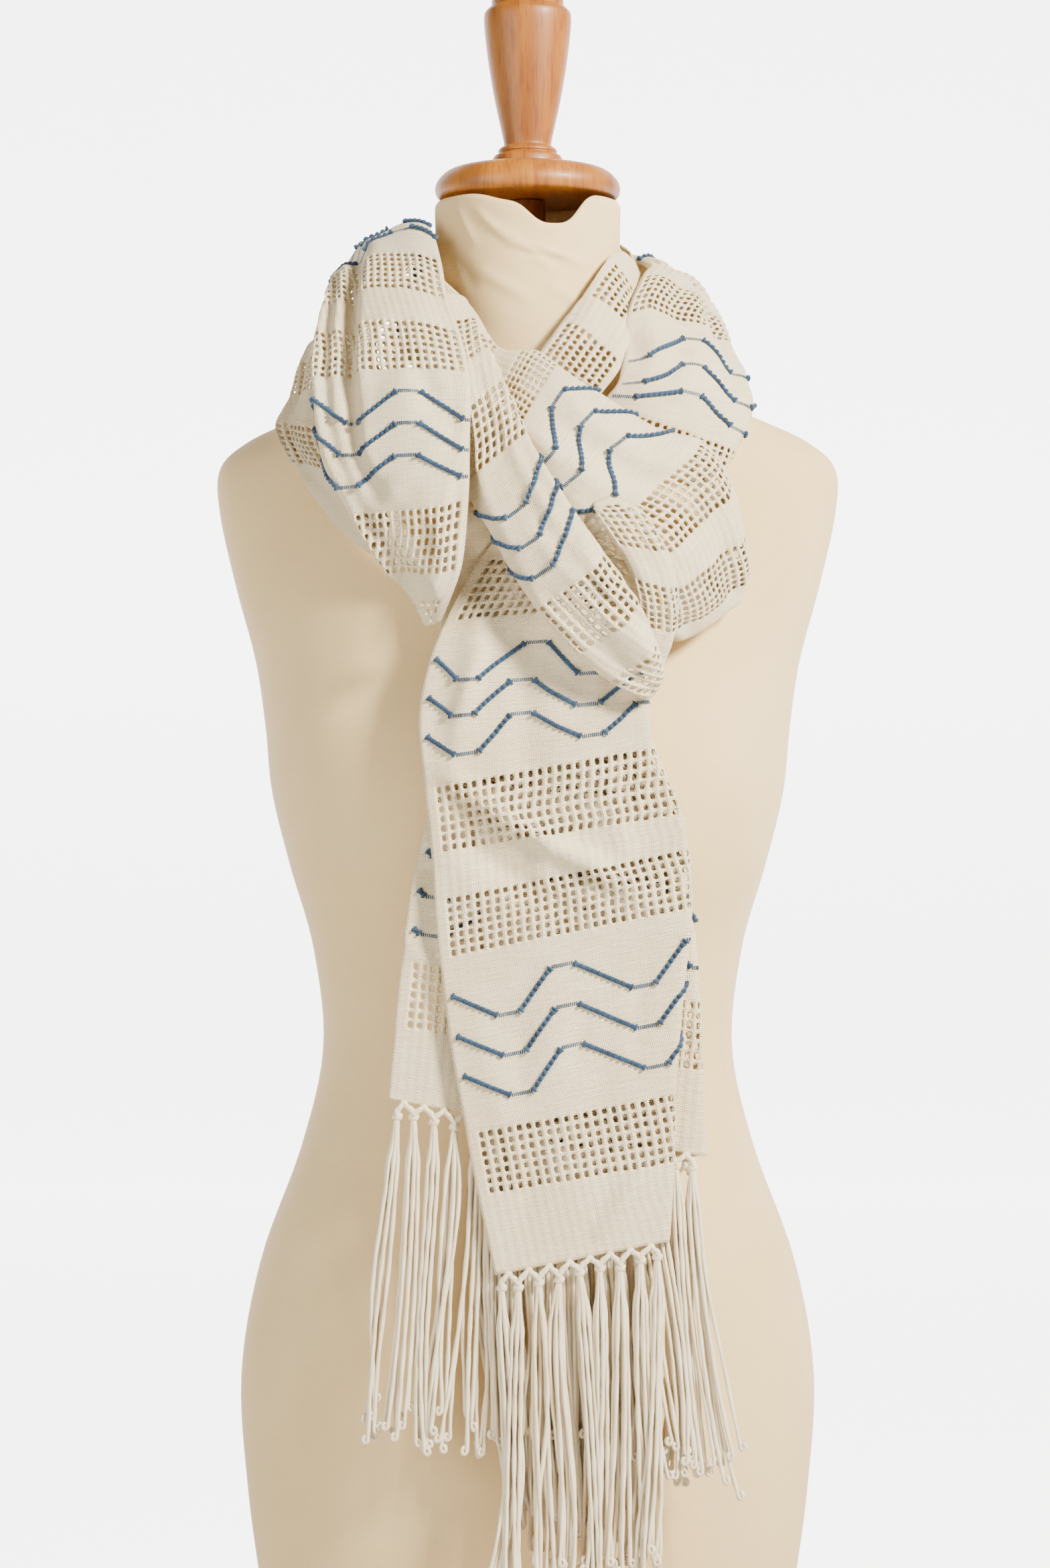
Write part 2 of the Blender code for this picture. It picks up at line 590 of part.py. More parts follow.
def strand_points(root, drift, wobble, seed):
    """Centre line of one strand: it hangs from its root, drifts aside and waves a little."""
    t = np.linspace(0, 1, STRAND_STEPS + 1)
    length = STRAND_LENGTH * (0.95 + 0.05 * math.sin(seed * 2.3))
    x = root[0] + drift * t**1.4 + wobble * np.sin(t * 5.1 + seed) * t
    y = root[1] + 0.7 * wobble * np.sin(t * 4.3 + 1.7 * seed) * t
    return np.stack([x, y, root[2] - length * t], 1)


def strand_tube(line):
    """Three-sided tube round a centre line that runs down, a little thinner at its end."""
    turn = np.arange(STRAND_SIDES) * 2 * math.pi / STRAND_SIDES + math.pi / 2
    radius = STRAND_RADIUS * np.linspace(1.0, 0.85, len(line))
    ring = np.stack([np.cos(turn), np.sin(turn), 0 * turn], 1)
    return line[:, None] + radius[:, None, None] * ring[None]


def fringe(name, start, finish, drift_start, drift_finish, collection, cutters, surface):
    """A narrow strip under one leaf's hem, with its strands joined to it by a union."""
    start, finish = np.array(start, float), np.array(finish, float)
    run = finish - start
    down = np.array((0.0, 0.0, -1.0))
    back = np.array((0.0, 1.0, 0.0))
    shape = bmesh.new()
    box = bmesh.ops.create_cube(shape, size=1.0)["verts"]
    for corner in box:
        x, y, z = corner.co
        corner.co = Vector(((start + finish) / 2 + run * x + back * WALL * y
                            + down * (STRIP_GAP + STRIP_HEIGHT * (0.5 - z))) * MM)
    mesh = bpy.data.meshes.new(name)
    shape.to_mesh(mesh)
    shape.free()
    mesh.materials.append(surface)
    strip = bpy.data.objects.new(name, mesh)
    collection.objects.link(strip)
    tassels = max(2, round(np.linalg.norm(run) / TASSEL_PITCH))
    count = tassels * STRANDS_IN_TASSEL
    points, faces = [], []
    for i in range(count):
        share = (i + 0.5) / count
        root = start + run * share + down * (STRIP_GAP + ROOT_DEPTH)
        drift = drift_start + (drift_finish - drift_start) * share
        tube = strand_tube(strand_points(root, drift, 1.3, 1.9 * i))
        first = len(points)
        points.extend(tube.reshape(-1, 3))
        faces.extend([tuple(first + k for k in face)
                      for face in grid_faces(len(tube), STRAND_SIDES, closed=True)])
        faces.append(tuple(first + k for k in range(STRAND_SIDES)))
        last = first + (len(tube) - 1) * STRAND_SIDES
        faces.append(tuple(last + k for k in range(STRAND_SIDES))[::-1])
    strands = new_object(name + "_strands", points, faces, cutters, surface)
    shape = bmesh.new()
    shape.from_mesh(strands.data)
    bmesh.ops.recalc_face_normals(shape, faces=shape.faces)
    shape.to_mesh(strands.data)
    shape.free()
    strands.hide_render = True
    strands.display_type = "WIRE"
    join = strip.modifiers.new("strands", "BOOLEAN")
    join.operation = "UNION"
    join.solver = "EXACT"
    join.object = strands
    return strip


def main():
    for item in list(bpy.data.objects):
        bpy.data.objects.remove(item)
    model = new_collection("shawl")
    cutters = new_collection("cutters")
    cotton = material("natural cotton", (0.84, 0.76, 0.62), 0.85)
    jersey = material("cream jersey", (0.80, 0.68, 0.46), 0.8)
    wood = material("varnished wood", (0.52, 0.21, 0.05), 0.35)

    layers = Layers()
    rings = dress_form(model, jersey, wood)
    outside = rings[:-4]
    layers.add(np.concatenate([outside, outside[:, :1]], 1), 12)

    back_tail = tail_points(BACK_TAIL, BACK_TAIL_FOLDS, 15, BACK_TAIL_COUNT, 2, 5)
    front_tail = tail_points(FRONT_TAIL, FRONT_TAIL_FOLDS, 20, FRONT_TAIL_COUNT, 2, 5)
    cloth("back_tail", back_tail, model, cotton)
    front_tail = seat(cloth("front_tail", front_tail, model, cotton), front_tail, -1, (0, 0), model)
    layers.add(front_tail)

    # Each stretch in the order it is laid: its table, its folds, where it starts and ends along
    # the cloth, its number of points along and across, the side it is laid from, and whether its
    # low and high ends are joined to the next stretch.
    stretches = (
        ("inner_back", INNER_TURN, INNER_FOLDS, -120 + SEAM, 175 - SEAM / 2, 13, 10, 1, (1, 1)),
        ("inner_right", INNER_TURN, INNER_FOLDS, -270, -120, 9, 10, -1, (0, 1)),
        ("outer_right", OUTER_TURN, OUTER_FOLDS, -160, 25 - SEAM, 11, 14, -1, (0, 1)),
        ("shoulder_left", SHOULDER_LEFT, SHOULDER_FOLDS, 390, 670, 13, 10, -1, (0, 0)),
        ("loop_centre", INNER_TURN, INNER_FOLDS, 175, 580, 21, 10, -1, (1, 0)),
        ("loop_end", LOOP_END, LOOP_FOLDS, 380, 530, 9, 8, -1, (0, 0)),
        ("cross_band", CROSS_BAND, CROSS_FOLDS, 170, 515, 16, 10, -1, (0, 0)),
        ("outer_back", OUTER_TURN, OUTER_FOLDS, 25, 360 - WIDE_SEAM, 17, 14, 1, (1, 1)),
        ("outer_left", OUTER_TURN, OUTER_FOLDS, 360, 705, 17, 14, -1, (1, 0)),
    )
    for name, rows, folds, start, finish, along_count, across_count, side, joined in stretches:
        points = wound_points(rows, folds, start, finish, along_count, across_count, joined)
        points = layers.settle(points, side, joined)
        points = seat(cloth(name, points, model, cotton), points, side, joined, model)
        layers.add(points)

    hems = (("front", front_tail, FRONT_TAIL_COUNT, 0.0, 6.0),
            ("back", back_tail, BACK_TAIL_COUNT, -4.0, 26.0))
    for name, tail, front_count, left_drift, right_drift in hems:
        hem = tail[-1]
        fringe("fringe_" + name, hem[0] + (2, 1, 0), hem[front_count - 1] - (3, -1, 0),
               left_drift, right_drift, model, cutters, cotton)
        fringe("fringe_" + name + "_under", hem[-1] + (2, -1, 0), hem[front_count + 2] - (3, 1, 0),
               left_drift, right_drift, model, cutters, cotton)


main()
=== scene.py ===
# A cotton shawl wound round the neck of a limbless dress form on a turned stand.
# Tables are in millimetres and meshes in metres. The viewer stands at -Y, and left is the viewer's.
import math
import bmesh
import bpy
import numpy as np
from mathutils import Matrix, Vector


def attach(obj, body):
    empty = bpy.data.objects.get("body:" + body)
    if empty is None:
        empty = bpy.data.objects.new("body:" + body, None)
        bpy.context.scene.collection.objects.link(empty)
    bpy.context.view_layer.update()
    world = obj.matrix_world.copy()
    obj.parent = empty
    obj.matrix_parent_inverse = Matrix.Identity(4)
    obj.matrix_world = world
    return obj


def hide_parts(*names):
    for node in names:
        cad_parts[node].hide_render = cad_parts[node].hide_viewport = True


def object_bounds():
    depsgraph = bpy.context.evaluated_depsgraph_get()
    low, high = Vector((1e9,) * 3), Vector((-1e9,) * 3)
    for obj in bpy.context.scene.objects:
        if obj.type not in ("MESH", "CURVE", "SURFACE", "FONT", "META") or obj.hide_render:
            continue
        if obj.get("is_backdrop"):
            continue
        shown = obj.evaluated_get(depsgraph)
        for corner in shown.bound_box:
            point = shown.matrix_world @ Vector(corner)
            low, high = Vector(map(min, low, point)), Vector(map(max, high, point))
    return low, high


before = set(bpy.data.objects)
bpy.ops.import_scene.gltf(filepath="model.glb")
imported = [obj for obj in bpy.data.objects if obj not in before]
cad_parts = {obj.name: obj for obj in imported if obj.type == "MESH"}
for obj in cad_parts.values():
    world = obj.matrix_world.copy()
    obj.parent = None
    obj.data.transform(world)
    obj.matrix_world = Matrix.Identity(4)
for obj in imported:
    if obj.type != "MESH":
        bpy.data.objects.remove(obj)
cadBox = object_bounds()
mm = 0.001
core = np.array((0.0, 0.0, 835.0))     # middle of the wound cloth
tuckTurn = math.radians(55)             # how far round the cloth goes on behind its edges
fullTuck = 12.0                         # a tuck this deep or deeper goes all that way
joinRow = 3.0                           # the extra row that lies close to a join in the solids
foldRadius = 3.4                        # the turn at a tail's folded edge
frontShare, turnShare = 0.52, 0.04      # shares of a tail's width taken by its front leaf and its turn
matchWithin = 0.05                      # a point and a solid's corner this close, seen from the front, are one
readStep, readSides = 1.5, 181          # spacing of rows and number of points across when a surface is read
probe = 0.8                             # half the distance over which a cloth's directions are taken
fullPuff = 8.0                          # folds have their full height where a cloth is rounded out this far
flatAtTurn = 6                          # power by which a tail goes flat towards its folded edge
spreadRounds = 4                        # how often moves are handed on to points that match no corner
tailSamples = (60, 80)                  # points along and across by which a tail is set against its solid
leafMargin = 0.01                       # share of a tail's width that its fringe leaves free at a side
noHem = -999                            # for cloth whose openwork runs on to its end

sectionColumns = ("length", "leftX", "leftY", "leftZ", "rightX", "rightY", "rightZ", "puff", "tuckLeft",
                  "tuckRight")
tailColumns = ("length", "leftX", "leftZ", "rightX", "rightZ", "depth", "puff", "folded")

# Sections along the outer turn: its two edges as they show, how far it is rounded out between them,
# and how far it turns back behind each edge.
outerTurn = (
    (705, -60, -124, 722, -50, -126, 724, 1, 0, 0),
    (688, -68, -128, 738, -44, -136, 737, 4, 2, 0),
    (661, -81, -128, 754, -38, -146, 754, 8, 6, 0),
    (621, -102, -120, 786, -34, -150, 791, 12, 14, 1),
    (568, -121, -98, 827, -33, -140, 827, 17, 22, 2),
    (516, -125, -74, 862, -33, -122, 866, 19, 28, 2),
    (476, -125, -50, 891, -39, -98, 894, 18, 30, 2),
    (449, -123, -33, 909, -46, -80, 914, 17, 30, 2),
    (409, -119, -6, 930, -51, -60, 941, 15, 26, 2),
    (360, -119, 22, 924, -58, -32, 965, 17, 18, 2),
    (300, -120, 54, 886, -70, 16, 970, 25, 14, 3),
    (240, -90, 78, 854, -54, 58, 972, 35, 7, 4),
    (190, 0, 86, 840, 0, 78, 970, 38, 2, 4),
    (140, 90, 78, 850, 56, 58, 962, 35, 2, 4),
    (80, 122, 48, 876, 74, 17, 950, 24, 6, 3),
    (25, 118, 12, 908, 75, -16, 938, 13, 14, 2),
    (-15, 124, -8, 896, 68, -52, 913, 12, 20, 2),
    (-60, 131, -28, 876, 69, -64, 883, 14, 24, 2),
    (-90, 136, -45, 857, 60, -84, 866, 14, 20, 2),
    (-120, 129, -64, 838, 46, -98, 858, 12, 12, 1),
    (-160, 117, -84, 814, 36, -106, 840, 9, 4, 0),
)
# Beside the neck its right edge is drawn in to the inner turn, so that no gap shows there.
drawnIn = {25: (68, -24, 936), -15: (60, -62, 913), -60: (57, -80, 884), -90: (52, -92, 867)}
outerTurnDrawn = tuple(row[:4] + drawnIn.get(row[0], row[4:7]) + row[7:] for row in outerTurn)
# The same for the inner turn, which ends in the loop at the right.
innerTurn = (
    (-270, 24, -86, 832, -5, -76, 867, 3, 0, 0),
    (-227, 40, -84, 856, 6, -72, 885, 4, 0, 0),
    (-187, 56, -74, 879, 20, -64, 905, 5, 0, 0),
    (-160, 63, -60, 900, 33, -58, 922, 4, 0, 0),
    (-120, 70, -32, 914, 50, -39, 948, 3, 0, 0),
    (-60, 78, 16, 894, 64, 9, 956, 4, 0, 0),
    (20, 48, 66, 880, 41, 50, 970, 8, 0, 0),
    (60, 0, 78, 874, 0, 64, 976, 9, 0, 0),
    (100, -50, 66, 882, -43, 50, 973, 8, 0, 0),
    (140, -79, 22, 896, -64, 8, 957, 4, 0, 0),
    (175, -70, -34, 902, -53, -40, 936, 3, 0, 0),
    (195, -60, -70, 874, -35, -58, 917, 5, 0, 0),
    (230, -38, -100, 836, -18, -74, 890, 7, 0, 0),
    (270, -21, -120, 817, 5, -88, 885, 9, 0, 1),
    (304, -7, -132, 808, 24, -98, 871, 11, 0, 2),
    (350, 10, -138, 788, 54, -108, 851, 13, 0, 3),
    (380, 22, -142, 776, 77, -112, 837, 14, 0, 5),
    (409, 34, -144, 770, 100, -106, 832, 14, 0, 8),
    (449, 55, -144, 750, 119, -92, 807, 14, 0, 14),
    (476, 66, -140, 734, 126, -82, 784, 13, 0, 16),
    (516, 80, -128, 718, 128, -70, 759, 11, 0, 14),
    (545, 84, -112, 714, 122, -62, 746, 8, 0, 8),
    (565, 78, -98, 722, 110, -62, 750, 4, 0, 2),
    (580, 72, -94, 738, 100, -68, 760, 2, 0, 0),
)
crossBand = (
    (170, -55, -72, 920, -36, -62, 918, 4, 0, 0),
    (230, -44, -108, 869, -22, -86, 887, 7, 0, 2),
    (265, -38, -126, 832, -10, -106, 858, 9, 0, 4),
    (304, -34, -139, 797, 3, -130, 826, 11, 4, 5),
    (340, -21, -148, 773, 17, -148, 802, 11, 6, 6),
    (375, -9, -152, 751, 31, -158, 781, 11, 7, 6),
    (409, 3, -154, 733, 43, -164, 764, 11, 7, 6),
    (449, 27, -154, 706, 64, -164, 733, 10, 6, 5),
    (476, 45, -150, 690, 74, -156, 713, 8, 5, 4),
    (500, 61, -146, 681, 78, -146, 696, 5, 3, 2),
    (515, 68, -142, 678, 76, -140, 687, 2, 0, 0),
)
loopEnd = (
    (380, 38, -141, 792, 46, -140, 796, 1, 0, 0),
    (396, 38, -146, 788, 62, -140, 790, 4, 0, 1),
    (420, 46, -150, 774, 77, -141, 771, 6, 0, 4),
    (446, 56, -149, 757, 85, -139, 752, 8, 0, 6),
    (476, 63, -147, 736, 87, -138, 731, 8, 0, 6),
    (505, 68, -143, 716, 84, -137, 713, 6, 0, 4),
    (530, 71, -138, 697, 78, -135, 697, 2, 0, 0),
)
shoulderLeft = (
    (390, -116, 46, 896, -98, 36, 908, 3, 0, 0),
    (430, -131, 20, 904, -106, 8, 908, 6, 5, 0),
    (470, -140, 0, 888, -108, -20, 888, 7, 8, 0),
    (510, -144, -20, 866, -110, -42, 864, 8, 8, 0),
    (540, -152, -40, 846, -108, -64, 838, 8, 6, 0),
    (580, -139, -62, 820, -96, -86, 814, 8, 5, 0),
    (620, -121, -85, 792, -78, -104, 790, 7, 4, 0),
    (650, -103, -100, 773, -64, -112, 770, 5, 2, 0),
    (670, -89, -108, 763, -58, -116, 756, 3, 0, 0),
)
# Lengthwise folds: place across, lean, start and finish along the cloth, height and width.
outerFolds = (
    (0.16, 0.02, 700, 330, 4.5, 0.07),
    (0.34, 0.06, 640, 300, -5.5, 0.06),
    (0.52, -0.02, 560, 260, 3.5, 0.08),
    (0.80, 0.05, 690, 380, -3.0, 0.07),
    (0.22, 0.22, 340, 90, -6.0, 0.07),
    (0.70, -0.25, 330, 60, -6.5, 0.06),
    (0.48, 0.15, 260, 70, 4.0, 0.10),
    (0.80, -0.05, 240, 20, -3.5, 0.06),
    (0.30, 0.05, 50, -150, -5.0, 0.07),
    (0.55, 0.10, 60, -120, -4.0, 0.07),
    (0.78, -0.04, 30, -140, 3.0, 0.07),
)
innerFolds = (
    (0.35, 0.10, -120, -260, -3.0, 0.10),
    (0.65, 0.05, -110, -240, 2.5, 0.10),
    (0.30, 0.15, 250, 420, 3.0, 0.10),
    (0.55, 0.10, 330, 530, -4.5, 0.08),
    (0.75, -0.05, 430, 560, 4.0, 0.08),
    (0.22, 0.05, 420, 540, -4.0, 0.07),
)
crossFolds = (
    (0.35, 0.10, 400, 530, -3.5, 0.10),
    (0.72, 0.00, 380, 530, 3.0, 0.09),
    (0.55, 0.00, 180, 300, -2.5, 0.10),
)
loopFolds = ((0.5, 0.0, 400, 520, -3.0, 0.12),)
shoulderFolds = (
    (0.25, 0.05, 420, 600, -5.0, 0.09),
    (0.55, 0.00, 450, 660, 4.0, 0.10),
    (0.80, 0.05, 430, 640, -4.0, 0.08),
)
# Sections up a tail from its hem: its edges, its depth, how far it is rounded out, and how much of
# its width the leaf behind takes.
frontTail = (
    (476, -8, 785, 40, 780, -126, 3, 0.50),
    (449, -27, 762, 46, 758, -131, 4, 0.50),
    (409, -48, 724, 57, 732, -137, 6, 0.60),
    (370, -59, 694, 63, 700, -140, 6, 0.75),
    (335, -63, 665, 67, 677, -142, 5, 0.80),
    (304, -60, 630, 70, 653, -143, 4, 0.85),
    (264, -56, 592, 86, 614, -143, 3, 0.85),
    (237, -54, 565, 90, 594, -143, 2, 0.85),
    (197, -51, 530, 92, 559, -143, 2, 0.85),
    (145, -45, 480, 87, 507, -142, 2, 0.85),
    (92, -36, 430, 83, 453, -142, 2, 0.85),
    (51, -29, 393, 82, 412, -142, 2, 0.85),
    (0, -19, 346, 79, 365, -142, 1, 0.85),
)
backTail = (
    (420, -52, 800, 46, 800, -112, 3, 0.40),
    (370, -52, 762, 44, 762, -118, 3, 0.50),
    (320, -50, 718, 48, 716, -124, 2, 0.60),
    (264, -52, 672, 63, 665, -127, 2, 0.65),
    (197, -57, 619, 84, 603, -128, 1, 0.70),
    (145, -68, 568, 93, 553, -128, 1, 0.75),
    (92, -73, 528, 97, 504, -128, 1, 0.75),
    (51, -77, 489, 99, 463, -128, 1, 0.75),
    (0, -81, 447, 101, 414, -128, 1, 0.75),
)
frontTailFolds = (
    (0.16, 0.08, 476, 300, 4.0, 0.07),
    (0.58, -0.22, 470, 200, -3.5, 0.07),
    (0.84, -0.04, 476, 320, 3.5, 0.06),
    (0.35, 0.15, 330, 30, 1.8, 0.09),
    (0.70, -0.05, 200, -20, -1.8, 0.08),
)
backTailFolds = (
    (0.12, 0.02, 260, -20, 1.5, 0.06),
    (0.30, 0.00, 200, -20, -1.5, 0.06),
)
# Small creases of chance: how long they are, how far they lean, how tall and how wide they are.
smallCrease = {"length": (35, 95), "lean": 16, "tall": (0.9, 2.4), "wide": (5.0, 8.5)}


def smoothCurve(knots, values, at):
    # Cubic curve through the values at the knots, with slopes taken from the neighbours on each side.
    knots, values = np.asarray(knots, float), np.asarray(values, float)
    if knots[0] > knots[-1]:
        knots, values = knots[::-1], values[::-1]
    slopes = np.gradient(values, knots, axis=0)
    k = np.clip(np.searchsorted(knots, at) - 1, 0, len(knots) - 2)
    shape = (-1,) + (1,) * (values.ndim - 1)
    step = (knots[k + 1] - knots[k]).reshape(shape)
    t = (at - knots[k]).reshape(shape) / step
    return ((2 * t**3 - 3 * t**2 + 1) * values[k] + (t**3 - 2 * t**2 + t) * step * slopes[k]
            + (3 * t**2 - 2 * t**3) * values[k + 1] + (t**3 - t**2) * step * slopes[k + 1])


def acrossCurve(values, share):
    # The same kind of curve across each row, whose values lie at even shares of its width.
    count = values.shape[1]
    place = share * (count - 1)
    k = np.clip(place.astype(int), 0, count - 2)
    t = place - k
    slopes = np.gradient(values, axis=1)
    first, second = np.take_along_axis(values, k, 1), np.take_along_axis(values, k + 1, 1)
    leave, arrive = np.take_along_axis(slopes, k, 1), np.take_along_axis(slopes, k + 1, 1)
    return ((2 * t**3 - 3 * t**2 + 1) * first + (t**3 - 2 * t**2 + t) * leave
            + (3 * t**2 - 2 * t**3) * second + (t**3 - t**2) * arrive)


def tableAt(names, rows, along):
    # Each column of a table, read on smooth curves at the given lengths.
    knots, *values = [np.array(column, float) for column in zip(*rows)]
    return {name: smoothCurve(knots, column, along)[:, None] for name, column in zip(names[1:], values)}


def foldHeight(folds, along, across):
    # Lengthwise folds: round ridges or troughs that fade in and out at their ends.
    height = np.zeros(across.shape)
    for place, lean, start, finish, tall, width in folds:
        t = ((along - start) / (finish - start))[:, None]
        fade = np.where((t > 0) & (t < 1), np.sin(math.pi * np.clip(t, 0, 1)) ** 0.6, 0.0)
        height += tall * fade * np.exp(-((across - place - lean * np.clip(t, 0, 1)) / width) ** 2)
    return height


def creaseHeight(creases, along, across):
    # Short slanting creases: each is a ridge along a line from one place on the cloth to another,
    # given by length and share across, and dies away at its two ends.
    height = np.zeros(across.shape)
    for startLong, startShare, endLong, endShare, tall, width, span in creases:
        alongWay = np.array((endLong - startLong, (endShare - startShare) * span))
        size = np.hypot(*alongWay)
        way = alongWay / size
        x, y = along[:, None] - startLong, (across - startShare) * span
        t = (x * way[0] + y * way[1]) / size
        off = x * way[1] - y * way[0]
        fade = np.sin(math.pi * np.clip(t, 0, 1)) ** 0.7
        height += tall * fade * np.exp(-(off / width) ** 2)
    return height


def smallCreases(seed, count, start, finish, span, low=0.12, high=0.88):
    # Chance creases that run more or less along the cloth, as ridges and troughs of a millimetre or two.
    chance = np.random.RandomState(seed)
    rows = []
    for _ in range(count):
        along, share = chance.uniform(start, finish), chance.uniform(low, high)
        length, lean = chance.uniform(*smallCrease["length"]), chance.normal(0, smallCrease["lean"])
        tall = chance.choice((-1, 1)) * chance.uniform(*smallCrease["tall"])
        wide = chance.uniform(*smallCrease["wide"])
        rows.append((along, share, along + length, share + lean / span, tall, wide, span))
    return tuple(rows)


def unit(vectors):
    # The same directions, each of length one.
    return vectors / np.maximum(np.linalg.norm(vectors, axis=-1, keepdims=True), 1e-6)


def woundShape(rows, folds, creases=()):
    # A stretch of wound cloth: at every length the cloth follows half an ellipse between its two
    # edges, turns on behind them, and carries the folds on top. share runs from edge to edge.
    def shape(along, share):
        at = tableAt(sectionColumns, rows, along)
        left = np.stack([at["leftX"], at["leftY"], at["leftZ"]], 2)
        chord = np.stack([at["rightX"], at["rightY"], at["rightZ"]], 2) - left
        out = left + chord / 2 - core
        out = unit(out - chord * (np.sum(out * chord, 2) / np.sum(chord * chord, 2))[..., None])
        first = -tuckTurn * np.clip(at["tuckLeft"] / fullTuck, 0, 1)
        last = math.pi + tuckTurn * np.clip(at["tuckRight"] / fullTuck, 0, 1)
        turn = first + (last - first) * share
        depth = np.where(turn < 0, at["tuckLeft"], np.where(turn > math.pi, at["tuckRight"], at["puff"]))
        rise = depth * np.sin(turn)
        rise += foldHeight(folds, along, turn / math.pi) * np.clip(at["puff"] / fullPuff, 0, 1)
        rise += creaseHeight(creases, along, turn / math.pi) * np.clip(at["puff"] / fullPuff, 0, 1)
        return left + chord * (0.5 - 0.5 * np.cos(turn))[..., None] + out * rise[..., None]
    return shape


def tailShape(rows, folds, creases=()):
    # A tail: the front leaf, a half turn at its right edge and the leaf behind it. share takes each
    # of the three in turn.
    def shape(along, share):
        at = tableAt(tailColumns, rows, along)
        front = np.clip(share / frontShare, 0, 1)
        turn = math.pi * np.clip((share - frontShare) / turnShare, 0, 1)
        back = at["folded"] * np.clip((share - frontShare - turnShare) / (1 - frontShare - turnShare), 0, 1)
        rise = at["puff"] * np.sin(math.pi * front) + foldHeight(folds, along, front)
        rise += creaseHeight(creases, along, front)
        x = at["leftX"] + (at["rightX"] - at["leftX"]) * (front - back) + foldRadius * np.sin(turn)
        y = at["depth"] - rise * (1 - front**flatAtTurn) + foldRadius * (1 - np.cos(turn))
        z = at["leftZ"] + (at["rightZ"] - at["leftZ"]) * front + (at["rightZ"] - at["leftZ"]) * back
        return np.stack([x, y, z], 2)
    return shape


def nodePoints(name):
    # Corners of a CAD node, in millimetres.
    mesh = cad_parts[name].data
    corners = np.empty(len(mesh.vertices) * 3)
    mesh.vertices.foreach_get("co", corners)
    return corners.reshape(-1, 3) / mm


def laidShift(shape, stretch):
    # How far the solid of a stretch was moved front or back to lie over the layers below it: its
    # corners are found among the node's by their place seen from the front.
    name, start, finish, rowCount, columnCount, side, joined = stretch
    along = np.linspace(start, finish, rowCount)
    step = joinRow * np.sign(finish - start)
    along = np.concatenate([along[:1], along[:1] + step if joined[0] else [], along[1:-1],
                            along[-1:] - step if joined[1] else [], along[-1:]])
    share = np.tile(np.linspace(0, 1, columnCount), (len(along), 1))
    plain = shape(along, share).reshape(-1, 3)
    corners = nodePoints(name)
    away = np.hypot(plain[:, None, 0] - corners[None, :, 0], plain[:, None, 2] - corners[None, :, 2])
    reach = np.where(away < matchWithin, side * corners[None, :, 1], -np.inf)
    found = reach.max(1)
    known = np.isfinite(found)
    print("  ", name, "corners matched", int(known.sum()), "of", len(known))
    shift = np.where(known, found - side * plain[:, 1], 0.0).reshape(share.shape)
    known = known.reshape(share.shape)
    # A point with no corner takes the mean of its neighbours.
    for _ in range(spreadRounds):
        wide = np.pad(np.where(known, shift, 0.0), 1, mode="edge")
        near = np.pad(known.astype(float), 1, mode="edge")
        total = wide[:-2, 1:-1] + wide[2:, 1:-1] + wide[1:-1, :-2] + wide[1:-1, 2:]
        count = near[:-2, 1:-1] + near[2:, 1:-1] + near[1:-1, :-2] + near[1:-1, 2:]
        fill = ~known & (count > 0)
        shift = np.where(fill, total / np.maximum(count, 1), shift)
        known = known | fill
    return along, shift * side


def laidShape(shape, bare, stretches):
    # The shape of a whole turn, with the moves of its stretches put on. They are found with the bare
    # shape, which has the folds of the solids and no creases.
    parts = sorted([laidShift(bare, stretch) for stretch in stretches], key=lambda part: part[0][0])
    lengths = np.concatenate([along for along, _ in parts])
    shifts = np.concatenate([shift for _, shift in parts])

    def laid(along, share):
        points = shape(along, share)
        points[..., 1] += acrossCurve(smoothCurve(lengths, shifts, along), share)
        return points
    return laid


def gridNormals(points):
    # Unit normals of a grid of points, from its own steps across and along.
    across = np.stack([np.gradient(points[..., i], axis=1) for i in range(3)], -1)
    down = np.stack([np.gradient(points[..., i], axis=0) for i in range(3)], -1)
    return unit(np.cross(across, down))


def wayAlong(lines):
    # How far along its line each point lies, for one line of points or many.
    steps = np.linalg.norm(np.diff(lines, axis=-2), axis=-1)
    return np.concatenate([np.zeros(steps.shape[:-1] + (1,)), np.cumsum(steps, -1)], -1)


def measured(shape, start, finish, slips=((0, 0, 0),)):
    # A surface read at many places once: rows readStep apart along the cloth, each cut into even steps
    # across it. slips says how far the pattern lies ahead of the section lengths at the left and the
    # right edge.
    along = np.linspace(start, finish, int((finish - start) / readStep) + 1)
    even = np.tile(np.linspace(0, 1, readSides), (len(along), 1))
    far = wayAlong(shape(along, even))
    width = far[:, -1:]
    # All rows are looked up at once, each moved on by two from the one before.
    base = 2.0 * np.arange(len(along))[:, None]
    found = np.interp((even + base).ravel(), (far / width + base).ravel(), (even + base).ravel())
    points = shape(along, np.clip(found.reshape(even.shape) - base, 0, 1))
    return {"from": start, "to": finish, "step": along[1] - along[0], "points": points,
            "width": width[:, 0], "slips": np.array(slips, float)}


def widthAt(surface, along):
    # The width of the cloth at section lengths, read between the rows.
    place = (along - surface["from"]) / surface["step"]
    return np.interp(place, np.arange(len(surface["width"])), surface["width"])


def pointAt(surface, along, share):
    # The point at a section length and an even share of the way across, between its four neighbours.
    rows, sides, _ = surface["points"].shape
    down = np.clip((along - surface["from"]) / surface["step"], 0, rows - 1.001)
    over = np.clip(share * (sides - 1), 0, sides - 1.001)
    i, j = down.astype(int), over.astype(int)
    x, y = (down - i)[..., None], (over - j)[..., None]
    p = surface["points"]
    return (p[i, j] * (1 - x) + p[i + 1, j] * x) * (1 - y) + (p[i, j + 1] * (1 - x) + p[i + 1, j + 1] * x) * y


